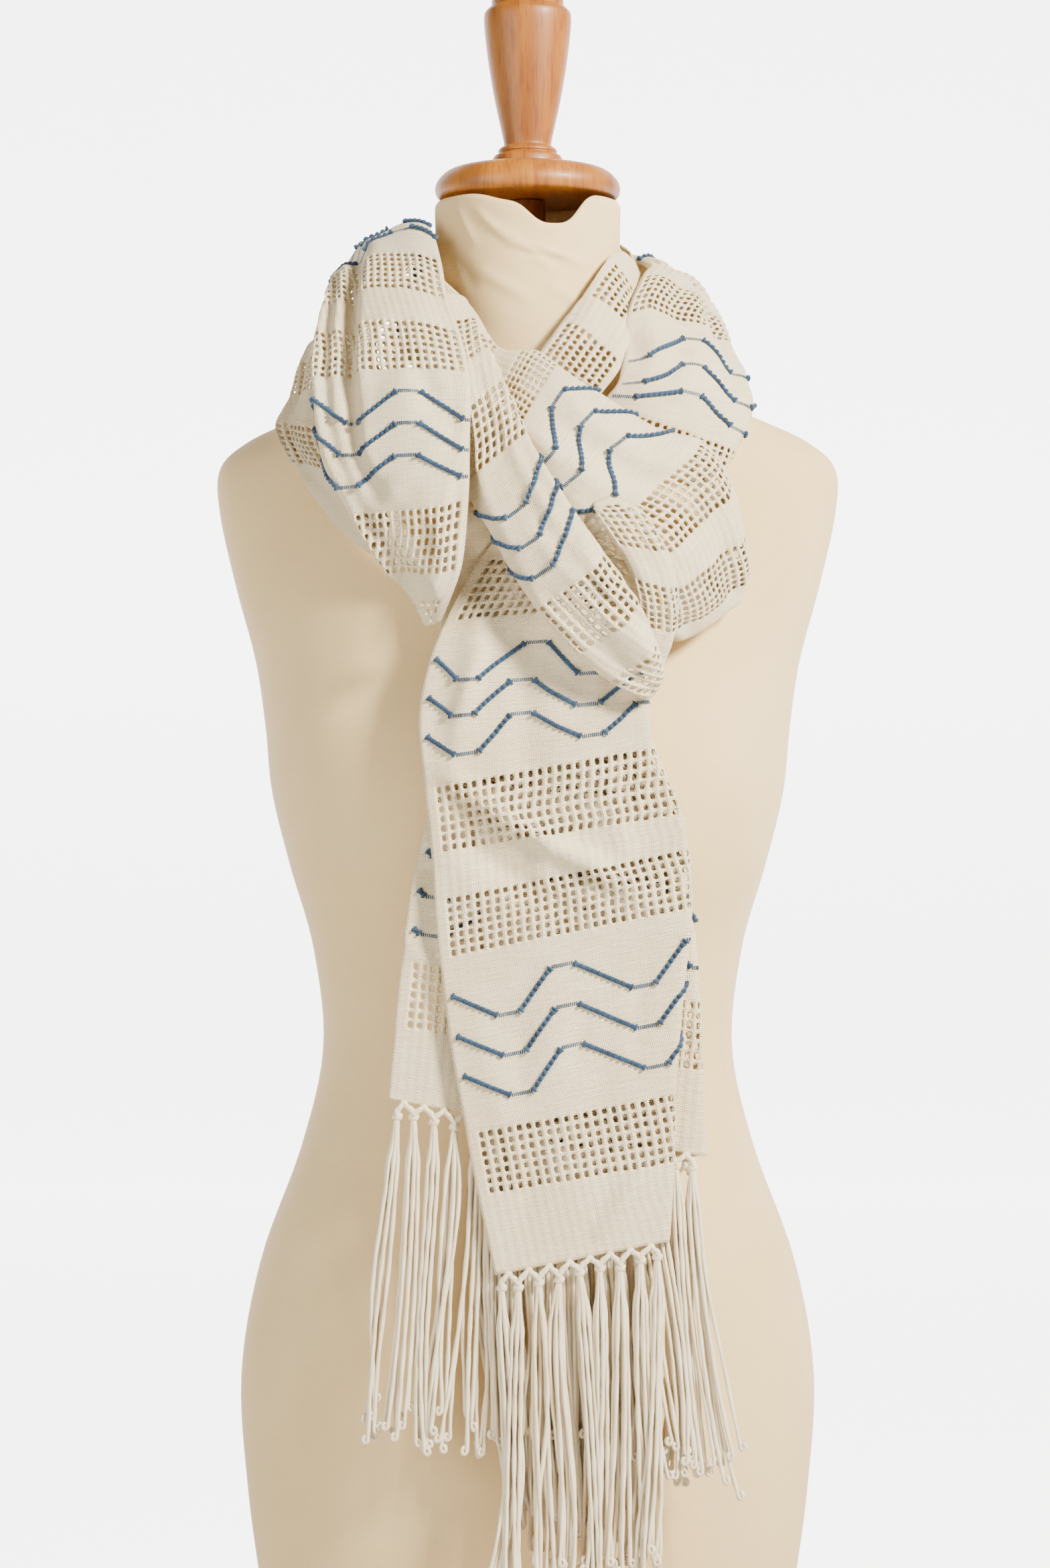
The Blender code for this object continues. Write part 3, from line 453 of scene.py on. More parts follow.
def slipAt(surface, along, share):
    # How far the pattern lies ahead: between the slips of the two edges, in proportion to share.
    slips = surface["slips"]
    left = np.interp(along, slips[:, 0], slips[:, 1])
    right = np.interp(along, slips[:, 0], slips[:, 2])
    return left * (1 - share) + right * share


def patternPlace(surface, anchor, across, pattern):
    # Turns pattern coordinates, across and along in millimetres, into a section length and a share.
    across, pattern = np.broadcast_arrays(across, pattern)
    along = pattern.astype(float)
    for _ in range(8):
        share = across / widthAt(surface, along) + anchor
        along = pattern - slipAt(surface, along, np.clip(share, 0, 1))
    return along, share


# The weave's own sizes. bands: from and to along one repeat, mesh rows in it, whether it has holes.
# hole: the corners of an opening, as shares of half its cell. rib: the ribs of the plain cloth, which
# are strongest within ribHalf of the middle of each repeat.
weavePattern = {
    "repeat": 212.0, "hem": 51.0, "wall": 1.2, "pitch": 5.6, "cordRelief": 0.45,
    "bands": ((51, 92, 14, True), (92, 197, 35, False), (197, 237, 14, True), (237, 263, 9, False)),
    "hole": ((-0.42, -0.58), (0.0, -0.68), (0.42, -0.58), (0.52, 0.0),
             (0.42, 0.58), (0.0, 0.68), (-0.42, 0.58), (-0.52, 0.0)),
    "holeSize": (0.8, 1.06), "holeUneven": 0.05,
    "ribMiddle": 38.5, "ribHalf": 54.5, "ribFade": 5.0,
}


def rowLines(start, finish, plainTo):
    # Lengths of the mesh rows: half a row of holes apart in the openwork and about 3 mm elsewhere.
    # Also marks the rows where a row of holes starts. There are none in the plain hem up to plainTo.
    lines, holes = [], []
    for period in range(-3, 5):        # more repeats than any stretch is long
        for low, high, count, openwork in weavePattern["bands"]:
            lines.append(np.linspace(low, high, count + 1)[:-1] + weavePattern["repeat"] * period)
            holes.append((np.arange(count) % 2 == 0) & openwork)
    lines, holes = np.concatenate(lines), np.concatenate(holes)
    inside = (lines > start + 0.4) & (lines < finish - 0.4)
    lines = np.concatenate([[start], lines[inside], [finish]])
    holes = np.concatenate([[False], holes[inside], [False]])
    holes[-3:] = False
    return lines, holes & (lines > plainTo - 1)


def bandWeight(along, low, high, soft=4.0):
    # One inside a band of the pattern and nothing outside it, with soft edges, in every repeat.
    repeat = weavePattern["repeat"]
    middle, half = (low + high) / 2, (high - low) / 2
    away = np.abs((along - middle + repeat / 2) % repeat - repeat / 2)
    return np.clip((half - away) / soft + 0.5, 0, 1)


def newObject(name, points, faces, material, uv=None, smooth=True):
    # A mesh object from points in millimetres, with flat coordinates for its weave if given.
    mesh = bpy.data.meshes.new(name)
    mesh.from_pydata((np.asarray(points) * mm).tolist(), [], faces)
    if uv is not None:
        layer = mesh.uv_layers.new(name="weave")
        corner = np.empty(len(mesh.loops), int)
        mesh.loops.foreach_get("vertex_index", corner)
        layer.data.foreach_set("uv", (np.asarray(uv)[corner] * mm).ravel())
    if smooth:
        mesh.shade_smooth()
    mesh.materials.append(material)
    made = bpy.data.objects.new(name, mesh)
    bpy.context.scene.collection.objects.link(made)
    return made


def gridFaces(rows, sides, closed=False):
    # Quads between neighbouring points of a grid, closed round its second direction if asked.
    row, side = np.meshgrid(np.arange(rows - 1), np.arange(sides if closed else sides - 1), indexing="ij")
    after = (side + 1) % sides
    corners = (row * sides + side, row * sides + after, (row + 1) * sides + after, (row + 1) * sides + side)
    return np.stack(corners, -1).reshape(-1, 4)


def clothSheet(name, surface, anchor, gap, plainTo, material):
    # Cloth on its own lattice: columns half a hole apart run along it and vanish behind its edges, and
    # every cell of the openwork is a ring of eight faces round a hole. anchor is the share of the
    # width where the columns are counted from, and gap is the distance from hole to hole.
    half = gap / 2
    evened = weavePattern["pitch"] / gap        # gives the columns of every sheet one pitch when flat
    ends = [end + float(slipAt(surface, end, 0.5)) for end in (surface["from"], surface["to"])]
    along, holeRow = rowLines(*ends, plainTo)
    rowCount = len(along)
    widest = surface["width"].max()
    column = np.arange(int(-anchor * widest / half) - 2, int((1 - anchor) * widest / half) + 3)
    count = len(column)
    section, share = patternPlace(surface, anchor, column[None] * half, along[:, None])
    points = pointAt(surface, section, np.clip(share, 0, 1))
    low = (share <= 0).sum(1) - 1
    high = count - (share >= 1).sum(1)
    index = np.clip(np.arange(count)[None], low[:, None], high[:, None])
    inside = (np.arange(count)[None] > low[:, None]) & (np.arange(count)[None] < high[:, None])

    # Warp cords stand out between the holes.
    normal = gridNormals(points)
    flip = np.sum(normal[inside].mean(0) * points[inside].mean(0) * (1, 1, 0)) < 0
    if flip:
        normal = -normal
    cord = np.where(column % 2 == 0, 1.0, -1.0)[None] * inside
    openwork = sum(bandWeight(along, start, end) for start, end, _, holes in weavePattern["bands"] if holes)
    relief = weavePattern["cordRelief"] * openwork * (along > plainTo)
    points = points + normal * (cord * relief[:, None])[..., None]
    width = widthAt(surface, section)
    flat = np.stack([(np.clip(share, 0, 1) - anchor) * width * evened, along[:, None] + 0 * share], 2)

    ids = np.arange(rowCount)[:, None] * count + index
    quads = np.stack([ids[:-1, :-1], ids[:-1, 1:], ids[1:, 1:], ids[1:, :-1]], -1)
    i, j = np.nonzero(np.broadcast_to(holeRow[:-2, None], (rowCount - 2, count))[:, :-2]
                      & (column[None, :-2] % 2 == 0)
                      & inside[:-2, :-2] & inside[1:-1, :-2] & inside[2:, :-2]
                      & inside[:-2, 2:] & inside[1:-1, 2:] & inside[2:, 2:])
    kept = np.ones(quads.shape[:2], bool)
    for x in (0, 1):
        for y in (0, 1):
            kept[i + x, j + y] = False
    quads = quads[kept]
    first, second = quads[:, [0, 1, 2]], quads[:, [0, 2, 3]]
    whole = ((first[:, 0] != first[:, 1]) & (first[:, 1] != first[:, 2]) & (first[:, 0] != first[:, 2])
             & (second[:, 1] != second[:, 2]) & (second[:, 0] != second[:, 2]))
    pieces = np.concatenate([first[~whole], second[~whole]])
    pieces = pieces[(pieces[:, 0] != pieces[:, 1]) & (pieces[:, 1] != pieces[:, 2])
                    & (pieces[:, 0] != pieces[:, 2])]

    # Rings round the holes.
    rim = ((0, 0), (0, 1), (0, 2), (1, 2), (2, 2), (2, 1), (2, 0), (1, 0))
    outer = np.stack([ids[i + x, j + y] for x, y in rim], 1)
    centre = points[i + 1, j + 1]
    wide = (points[i + 1, j + 2] - points[i + 1, j]) / 2
    tall = (points[i + 2, j + 1] - points[i, j + 1]) / 2
    ringShape = np.array(weavePattern["hole"])
    chance = np.random.RandomState(len(i))
    uneven = (chance.uniform(*weavePattern["holeSize"], (len(i), 1, 2)) * ringShape[None]
              + chance.normal(0, weavePattern["holeUneven"], (len(i), 1, 2)))
    ring = centre[:, None] + wide[:, None] * uneven[..., :1] + tall[:, None] * uneven[..., 1:]
    ringAlong = along[i + 1][:, None] + (along[i + 2] - along[i])[:, None] / 2 * ringShape[None, :, 1]
    ringAcross = ((column[j + 1] * half)[:, None] + half * ringShape[None, :, 0]) * evened
    ringFlat = np.stack([ringAcross, ringAlong], 2)
    inner = rowCount * count + np.arange(len(i) * 8).reshape(-1, 8)
    rings = np.stack([outer, np.roll(outer, -1, 1), np.roll(inner, -1, 1), inner], 2).reshape(-1, 4)

    allPoints = np.concatenate([points.reshape(-1, 3), ring.reshape(-1, 3)])
    allFlat = np.concatenate([flat.reshape(-1, 2), ringFlat.reshape(-1, 2)])
    quads = np.concatenate([quads[whole], rings])
    used = np.unique(np.concatenate([quads.ravel(), pieces.ravel()]))
    number = np.zeros(len(allPoints), int)
    number[used] = np.arange(len(used))
    if flip:
        quads, pieces = quads[:, ::-1], pieces[:, ::-1]
    made = newObject(name, allPoints[used], number[quads].tolist() + number[pieces].tolist(), material,
                     allFlat[used])
    wall = made.modifiers.new("wall", "SOLIDIFY")
    wall.thickness = weavePattern["wall"] * mm
    wall.offset = -1
    area = np.empty(len(made.data.polygons))
    made.data.polygons.foreach_get("area", area)
    print("  ", name, len(quads), "faces,", len(i), "holes, widest", round(float(widest)), "mm, area",
          round(float(area.sum()), 4))
    return made


def onCloth(surface, anchor, across, pattern):
    # Places on a cloth for pattern coordinates: the point, the direction across it, the direction
    # along it and the outward normal, and the share of the way across.
    at = lambda x, y: pointAt(surface, *patternPlace(surface, anchor, x, y))
    point = at(across, pattern)
    wide = unit(at(across + probe, pattern) - at(across - probe, pattern))
    tall = unit(at(across, pattern + probe) - at(across, pattern - probe))
    normal = unit(np.cross(wide, tall) * outwardSign(surface))
    return point, wide, tall, normal, patternPlace(surface, anchor, across, pattern)[1]


def outwardSign(surface):
    # One where across x along points away from the neck, minus one where it points to it. A few
    # points that lie clear of the edges are enough.
    points = surface["points"][::6, 9:-9:6]
    middle = points.reshape(-1, 3).mean(0)
    normal = gridNormals(points).reshape(-1, 3).mean(0)
    return 1.0 if np.sum(normal * middle * (1, 1, 0)) > 0 else -1.0


# The zigzag lines: one yarn for each slope, and fine ticks where it passes behind the cloth.
zigzag = {
    "lines": 3, "flat": 13.0, "height": 22.0, "firstLine": 28.5, "lineGap": 24.0,
    "yarn": 1.65, "ply": 3.7, "knot": 0.5, "bead": 0.5, "rings": 60, "sides": 8, "flatten": 0.8,
    "ticks": 11, "tickWidth": 0.62, "tickHeight": 2.2, "tickWall": 0.3,
    "edgeShare": 0.012, "endGap": 1.0, "tickEdgeShare": 0.015, "tickEndGap": 2.0,
}


def zigzagYarns(name, surface, anchor, bands, material):
    # The three zigzag lines of each plain band. A slope is a thick two-ply yarn that floats on the
    # cloth with a knot at either end, and a flat is a row of fine ticks where the yarn passes behind.
    # bands: where a band starts along, where a flat of its low side starts across, how far on the
    # flat of its high side starts, and the repeat.
    size = zigzag
    start, finish = [end + float(slipAt(surface, end, 0.5)) for end in (surface["from"], surface["to"])]
    spans, ticks = [], []
    for bandStart, phase, turnAfter, repeat in bands:
        for line in range(size["lines"]):
            length = bandStart + size["firstLine"] + size["lineGap"] * line
            top, bottom = length - size["height"] / 2, length + size["height"] / 2
            for period in range(-4, 5):        # more repeats than any cloth is wide
                base = phase + repeat * period
                turn = base + turnAfter
                spans.append((base + size["flat"], top, turn, bottom))
                spans.append((turn + size["flat"], bottom, base + repeat, top))
                for at, level in ((base, top), (turn, bottom)):
                    for step in range(size["ticks"]):
                        ticks.append((at + size["flat"] * (step + 0.7) / (size["ticks"] + 0.4), level))
    spans = np.array(spans)

    def places(spans, t):
        return (spans[:, 0, None] + (spans[:, 2] - spans[:, 0])[:, None] * t,
                spans[:, 1, None] + (spans[:, 3] - spans[:, 1])[:, None] * t)
    t = np.linspace(0, 1, 24)[None]
    across, along = places(spans, t)
    share = patternPlace(surface, anchor, across, along)[1]
    seen = ((np.abs(share - 0.5) < 0.5 - size["edgeShare"])
            & (along > start + size["endGap"]) & (along < finish - size["endGap"]))
    longEnough = seen.sum(1) > 3
    spans, seen = spans[longEnough], seen[longEnough]
    firstSeen = t[0][seen.argmax(1)]
    lastSeen = t[0][seen.shape[1] - 1 - seen[:, ::-1].argmax(1)]
    t = firstSeen[:, None] + (lastSeen - firstSeen)[:, None] * np.linspace(0, 1, size["rings"])[None]
    point, _, _, normal, _ = onCloth(surface, anchor, *places(spans, t))
    points, faces, uv = yarnTubes(point, normal, size["yarn"], size["sides"], size["ply"], size["knot"],
                                  size["flatten"], size["bead"])
    yarn = newObject(name, points, faces, material, uv)

    ticks = np.array(ticks)
    ticks = ticks[(ticks[:, 1] > start + size["tickEndGap"]) & (ticks[:, 1] < finish - size["tickEndGap"])]
    point, wide, tall, normal, share = onCloth(surface, anchor, ticks[:, 0], ticks[:, 1])
    seen = np.abs(share - 0.5) < 0.5 - size["tickEdgeShare"]
    point, wide, tall, normal = (field[seen][:, None] for field in (point, wide, tall, normal))
    corner = np.array([(x, y, z) for z in (-0.5, 0.5) for x, y in ((-1, -1), (1, -1), (1, 1), (-1, 1))])
    boxes = (point + wide * corner[None, :, :1] * size["tickWidth"] / 2
             + tall * corner[None, :, 1:2] * size["tickHeight"] / 2
             + normal * (corner[None, :, 2:] * size["tickWall"] + size["tickWall"] * 0.3))
    box = np.array(((0, 3, 2, 1), (4, 5, 6, 7), (0, 1, 5, 4), (1, 2, 6, 5), (2, 3, 7, 6), (3, 0, 4, 7)))
    if outwardSign(surface) < 0:
        box = box[:, ::-1]
    boxFaces = (np.arange(len(boxes))[:, None, None] * 8 + box[None]).reshape(-1, 4)
    tick = newObject(name + "_ticks", boxes.reshape(-1, 3), boxFaces.tolist(), material,
                     np.zeros((len(boxes) * 8, 2)), smooth=False)
    print("  ", name, len(spans), "slopes,", len(boxes), "ticks")
    return yarn, tick


def yarnTubes(centre, normal, radius, sides, ply, knot=0.0, flatten=0.8, bead=0.0):
    # Tubes round many centre lines at once. The ring's radius swells twice in a turn, and the swell
    # winds round the line, so the tube reads as two plies twisted together.
    count, rings, _ = centre.shape
    way = unit(np.gradient(centre, axis=1))
    side = unit(np.cross(way, normal))
    rise = np.cross(side, way)
    far = wayAlong(centre)
    turn = np.arange(sides) * 2 * math.pi / sides
    swell = 0.74 + 0.36 * np.abs(np.cos(turn[None, None] - math.pi * far[..., None] / ply))
    end = np.minimum(far, far[:, -1:] - far)
    # Where the yarn dips under a weft thread it is pinched and sinks, which leaves a row of beads.
    pinch = 1 - bead * (1 - np.abs(np.sin(math.pi * far / ply)) ** 0.6)
    lump = np.exp(-((end - 1.0) / 0.9) ** 2)
    pinch = np.maximum(pinch, lump)
    swell *= (pinch * (1 + knot * lump))[..., None]
    closing = np.ones(rings)
    closing[[0, -1]] = 0.35
    size = radius * swell * closing[None, :, None]
    points = (centre[:, :, None] + (rise * (radius * (0.5 - 0.8 * (1 - pinch)))[..., None])[:, :, None]
              + side[:, :, None] * (np.cos(turn) * size)[..., None]
              + rise[:, :, None] * (np.sin(turn) * size * flatten)[..., None])
    tube = gridFaces(rings, sides, closed=True)
    faces = (np.arange(count)[:, None, None] * rings * sides + tube[None]).reshape(-1, 4).tolist()
    cap = np.arange(sides)
    starts = np.arange(count)[:, None] * rings * sides
    faces += (starts + cap[::-1][None]).tolist()
    faces += (starts + (rings - 1) * sides + cap[None]).tolist()
    uv = np.stack(np.broadcast_arrays(turn[None, None] * radius, far[..., None]), -1)
    return points.reshape(-1, 3), faces, uv.reshape(-1, 2)


# The fringe. sway and stray are how far a bundle and a single cord wander from side to side.
tassel = {
    "pitch": 12.0, "hemDrop": 1.0, "knotDrop": 8.4, "hemKnot": 2.5, "knot": 3.2, "linkRadius": 1.7,
    "linkBow": 1.8, "linkOut": 0.5, "dropUneven": 1.2, "depthUneven": 0.8,
    "cords": 6, "bundle": 2.4, "radius": 1.25, "length": 236.0, "shorter": 0.13, "longer": 0.03,
    "bundleAside": 7, "cordAside": 4.5, "sway": 6.2, "stray": 3.0, "swayDeep": 1.4, "strayDeep": 0.9,
    "rings": 38, "sides": 6, "ply": 5.0, "curlRings": 9, "loop": 1.5,
}


def fringePiece(name, surface, leaf, drift, material, seed):
    # One leaf's fringe. Warp ends are knotted at the hem, each knot sends a cord to either side, and
    # neighbours meet in a lower knot, from which a bundle of soft twisted cords hangs.
    size = tassel
    chance = np.random.RandomState(seed)
    hem = pointAt(surface, np.zeros(81), np.linspace(*leaf, 81))
    far = wayAlong(hem)
    width = far[-1]
    knots = max(3, int(round(width / size["pitch"])))
    onHem = lambda at: np.stack([np.interp(at * width, far, hem[:, i]) for i in range(3)], -1)
    upper = onHem((np.arange(knots) + 0.5) / knots) - (0, 0, size["hemDrop"])
    lower = onHem(np.concatenate([[0.18], np.arange(1, knots), [knots - 0.18]]) / knots)
    bundles = len(lower)
    lower[:, 2] -= size["knotDrop"] + chance.uniform(-size["dropUneven"], size["dropUneven"], bundles)
    lower[:, 1] += chance.uniform(-size["depthUneven"], size["depthUneven"], bundles)

    # Short cords from each upper knot to the lower ones beside it, a little bowed.
    starts = np.concatenate([upper, upper])
    ends = np.concatenate([lower[:-1], lower[1:]])
    t = np.linspace(0, 1, 9)[None, :, None]
    bow = np.sin(math.pi * t) * np.concatenate([-np.ones(knots), np.ones(knots)])[:, None, None]
    links = starts[:, None] * (1 - t) + ends[:, None] * t + bow * np.array((size["linkBow"], 0, 0))
    links[:, :, 1] -= size["linkOut"]
    front = np.zeros_like(links)
    front[..., 1] = -1
    points, faces, uv = yarnTubes(links, front, size["linkRadius"], 8, size["ply"], 0, 1.0)

    # The hanging cords. Each bundle drifts aside and wanders as one, and its cords do so a little.
    rings = size["rings"]
    t = np.linspace(0, 1, rings)[None, None, :]
    number = size["cords"]
    place = np.linspace(0, 1, bundles)[:, None, None]
    scatter = (chance.normal(0, size["bundleAside"], (bundles, 1))
               + chance.normal(0, size["cordAside"], (bundles, number)))
    aside = drift[0] + (drift[1] - drift[0]) * place + scatter[..., None] * t
    wander = lambda spread, low, high, *shape: (chance.normal(0, spread, shape)[..., None]
                                                * np.sin(t * chance.uniform(low, high, shape)[..., None]
                                                         + chance.uniform(0, 6.3, shape)[..., None]) * t**0.8)
    stretch = chance.uniform(-size["shorter"], size["longer"], (bundles, number))
    length = size["length"] * (1 + stretch[..., None])
    ring = np.arange(number) * 2 * math.pi / number + chance.uniform(0, 6.3, (bundles, 1))
    spread = size["bundle"] * np.clip(t * 9, 0.3, 1) * (1 + 0.7 * t)
    x = (lower[:, 0, None, None] + aside * t**1.6 + wander(size["sway"], 1.6, 4.5, bundles, 1)
         + wander(size["stray"], 3, 10, bundles, number) + spread * 1.25 * np.cos(ring)[..., None])
    y = (lower[:, 1, None, None] + wander(size["swayDeep"], 2.5, 6, bundles, 1)
         + wander(size["strayDeep"], 5, 11, bundles, number) + spread * 0.6 * np.sin(ring)[..., None])
    z = lower[:, 2, None, None] - length * t + 0 * x
    # The last rings curl into a small closed loop.
    curl = np.clip((np.arange(rings) - (rings - size["curlRings"])) / (size["curlRings"] - 1.0), 0, 1)
    angle = curl * math.radians(300)
    curled = curl > 0
    foot = rings - size["curlRings"]
    side = np.where(chance.uniform(0, 1, (bundles, number)) > 0.5, 1.0, -1.0)[..., None]
    loopX = x[..., foot:foot + 1] + side * size["loop"] * (1 - np.cos(angle))
    loopZ = z[..., foot:foot + 1] - size["loop"] * np.sin(angle) * 1.5 - 1.0 * curl
    x, z = np.where(curled, loopX, x), np.where(curled, loopZ, z)
    y = np.where(curled, y[..., foot:foot + 1], y)
    cords = np.stack([x, y, z], -1).reshape(-1, rings, 3)
    front = np.zeros_like(cords)
    front[..., 1] = -1
    morePoints, moreFaces, moreUv = yarnTubes(cords, front, size["radius"], size["sides"], size["ply"], 0,
                                              1.0)
    shift = len(points)
    faces = faces + [tuple(corner + shift for corner in face) for face in moreFaces]
    points, uv = np.concatenate([points, morePoints]), np.concatenate([uv, moreUv])

    # Knots: small wrapped balls, wider than high.
    balls = np.concatenate([upper, lower])
    radii = np.concatenate([np.full(knots, size["hemKnot"]), np.full(bundles, size["knot"])])
    rise, turn = np.meshgrid(np.linspace(-90, 90, 9), np.arange(12) * 30, indexing="ij")
    rise, turn = np.radians(rise), np.radians(turn)
    wrap = 1 + 0.10 * np.sin(3 * turn + 5 * rise)
    ball = np.stack([np.cos(rise) * np.cos(turn) * wrap, np.cos(rise) * np.sin(turn) * 0.8 * wrap,
                     np.sin(rise) * 0.9], -1).reshape(-1, 3)
    ballPoints = balls[:, None] + radii[:, None, None] * ball[None]
    ballGrid = gridFaces(9, 12, closed=True)
    shift = len(points)
    ballFaces = (shift + np.arange(len(balls))[:, None, None] * len(ball) + ballGrid[None]).reshape(-1, 4)
    faces = faces + ballFaces.tolist()
    points = np.concatenate([points, ballPoints.reshape(-1, 3)])
    uv = np.concatenate([uv, np.tile(ball[:, [0, 2]] * 3, (len(balls), 1))])
    made = newObject(name, points, faces, material, uv)
    mesh = bmesh.new()
    mesh.from_mesh(made.data)
    bmesh.ops.remove_doubles(mesh, verts=mesh.verts, dist=0.00001)
    bmesh.ops.recalc_face_normals(mesh, faces=mesh.faces)
    mesh.to_mesh(made.data)
    mesh.free()
    print("  ", name, bundles, "bundles,", len(faces), "faces")
    return made


def turnedPiece(name, profile, material, segments=96, rounds=3):
    # A turned shape: its profile of radius and height, with the corners cut a few times to round
    # them, is carried round the upright axis.
    line = np.array(profile, float)
    for _ in range(rounds):
        first, second = line[:-1], line[1:]
        cut = np.stack([first * 0.75 + second * 0.25, first * 0.25 + second * 0.75], 1).reshape(-1, 2)
        line = np.concatenate([line[:1], cut, line[-1:]])
    line = line[1:-1][(line[1:-1, 0] > 0.01)]
    turn = np.arange(segments) * 2 * math.pi / segments
    points = np.stack([line[:, :1] * np.cos(turn), line[:, :1] * np.sin(turn), line[:, 1:] + 0 * turn], -1)
    faces = gridFaces(len(line), segments, closed=True)[:, ::-1].tolist()
    faces.append(list(range(segments)))
    faces.append([(len(line) - 1) * segments + i for i in range(segments)][::-1])
    made = newObject(name, points.reshape(-1, 3), faces, material)
    made.data.set_sharp_from_angle(angle=math.radians(50))
    return made


# Rings of the covered form: height, half width, depth to the front and the back, and squareness.
torsoRings = (
    (140, 163, 92, 118, 2.2),
    (200, 171, 96, 123, 2.2),
    (270, 175, 98, 125, 2.2),
    (340, 163, 94, 112, 2.2),
    (410, 138, 89, 88, 2.2),
    (470, 125, 87, 76, 2.2),
    (530, 131, 96, 82, 2.2),
    (580, 145, 114, 92, 2.3),
    (625, 156, 120.6, 98, 2.3),
    (665, 160, 116, 100, 2.4),
    (705, 166, 102, 100, 2.5),
    (750, 178, 91, 98, 2.6),
    (795, 188, 79, 92, 2.6),
    (822, 188, 70, 83, 2.5),
    (838, 172, 64, 74, 2.4),
    (851, 145, 60, 67, 2.3),
    (864, 112, 58, 62, 2.2),
    (875, 82, 57, 58, 2.1),
    (889, 60, 56.5, 56.5, 2.0),
)
# dip and sag: how far the rim of the covering drops, where (in degrees) and over what width. neck:
# radius, height and share of that drop, up the neck and over the rim. wrinkles: as the creases.
torso = {
    "sides": 160, "rings": 110, "girth": 355, "neckStep": 1.2,
    "dip": 19.0, "dipAt": 287, "dipSpread": 19, "sag": 5.0, "sagAt": 258, "sagSpread": 15,
    "backRise": 4.6, "backOut": 2.2,
    "neck": ((56.5, 905, 0), (56.5, 925, 0), (56.5, 945, 0.05), (56.5, 962, 0.3), (56.6, 972, 0.7),
             (56.8, 979, 0.95), (56.6, 983, 1), (55.4, 985, 1), (53.6, 984.6, 1), (52.2, 981, 1),
             (51.5, 970, 0.9), (51.5, 955, 0)),
    "wrinkles": ((977, 0.655, 948, 0.745, 1.5, 3.0), (968, 0.70, 936, 0.80, 1.3, 3.2),
                 (958, 0.75, 940, 0.86, 1.6, 3.0), (974, 0.86, 945, 0.80, 1.5, 3.2),
                 (940, 0.66, 918, 0.76, 1.2, 4.0), (930, 0.78, 912, 0.88, 1.2, 3.6),
                 (980, 0.61, 952, 0.66, 1.4, 3.2), (962, 0.90, 930, 0.94, 1.4, 3.4),
                 (950, 0.62, 925, 0.66, -1.0, 4.0), (952, 0.72, 944, 0.80, -1.0, 2.6)),
}


def torsoPiece(name, material):
    # The covered form: rings between an ellipse and a rounded square, up its sides and neck, then
    # over the rim of the covering, which sags at the front, and down into the hollow under the cap.
    size = torso
    sides = size["sides"]
    index = np.arange(len(torsoRings))
    at = np.linspace(0, len(torsoRings) - 1, size["rings"])
    table = smoothCurve(index, np.array(torsoRings, float), at)
    neck = np.array(size["neck"], float)
    turn = np.arange(sides) * 2 * math.pi / sides

    def ring(height, half, front, back, square):
        x = half * np.sign(np.cos(turn)) * np.abs(np.cos(turn)) ** (2 / square)
        deep = np.where(np.sin(turn) < 0, front, back)
        y = deep * np.sign(np.sin(turn)) * np.abs(np.sin(turn)) ** (2 / square)
        return np.stack(np.broadcast_arrays(x, y, height), -1)
    body = ring(*(table[:, i, None] for i in range(5)))
    degrees = np.degrees(turn)
    low = (size["dip"] * np.exp(-np.abs((degrees - size["dipAt"]) / size["dipSpread"]) ** 3)
           + size["sag"] * np.exp(-((degrees - size["sagAt"]) / size["sagSpread"]) ** 2)
           - size["backRise"] * np.clip(np.sin(turn) * 2, 0, 1))
    far = wayAlong(neck[:, :2])
    at = np.linspace(0, far[-1], int(far[-1] / size["neckStep"]))
    neck = np.stack([np.interp(at, far, neck[:, i]) for i in range(3)], 1)
    outside = np.arange(len(neck)) < np.argmax(neck[:, 1])
    wrinkle = creaseHeight([row + (size["girth"],) for row in size["wrinkles"]], neck[:, 1],
                           np.tile(turn / (2 * math.pi), (len(neck), 1))) * outside[:, None]
    wide = neck[:, :1] + wrinkle + size["backOut"] * np.clip(np.sin(turn) * 2, 0, 1) * neck[:, 2:3]
    collar = ring(neck[:, 1:2] - low[None] * neck[:, 2:3], wide, wide, wide, 2.0)
    points = np.concatenate([body, collar])
    faces = gridFaces(len(points), sides, closed=True).tolist()
    faces.append(list(range(sides))[::-1])
    faces.append([(len(points) - 1) * sides + i for i in range(sides)])
    made = newObject(name, points.reshape(-1, 3), faces, material)
    made.data.set_sharp_from_angle(angle=math.radians(60))
    return made


def newGroup(name, inputs, outputs):
    # A shader node group with named sockets; inputs come with their first values.
    group = bpy.data.node_groups.new(name, "ShaderNodeTree")
    for label, kind, value in inputs:
        socket = group.interface.new_socket(name=label, in_out="INPUT", socket_type=kind)
        if value is not None:
            socket.default_value = value
    for label, kind in outputs:
        group.interface.new_socket(name=label, in_out="OUTPUT", socket_type=kind)
    return group, group.nodes.new("NodeGroupInput"), group.nodes.new("NodeGroupOutput")


def mathNode(tree, operation, first, second=None, clamp=False):
    # One arithmetic node; each operand is a number or another node's output.
    node = tree.nodes.new("ShaderNodeMath")
    node.operation = operation
    node.use_clamp = clamp
    for socket, value in zip(node.inputs, (first, second)):
        if isinstance(value, (int, float)):
            socket.default_value = value
        elif value is not None:
            tree.links.new(value, socket)
    return node.outputs[0]


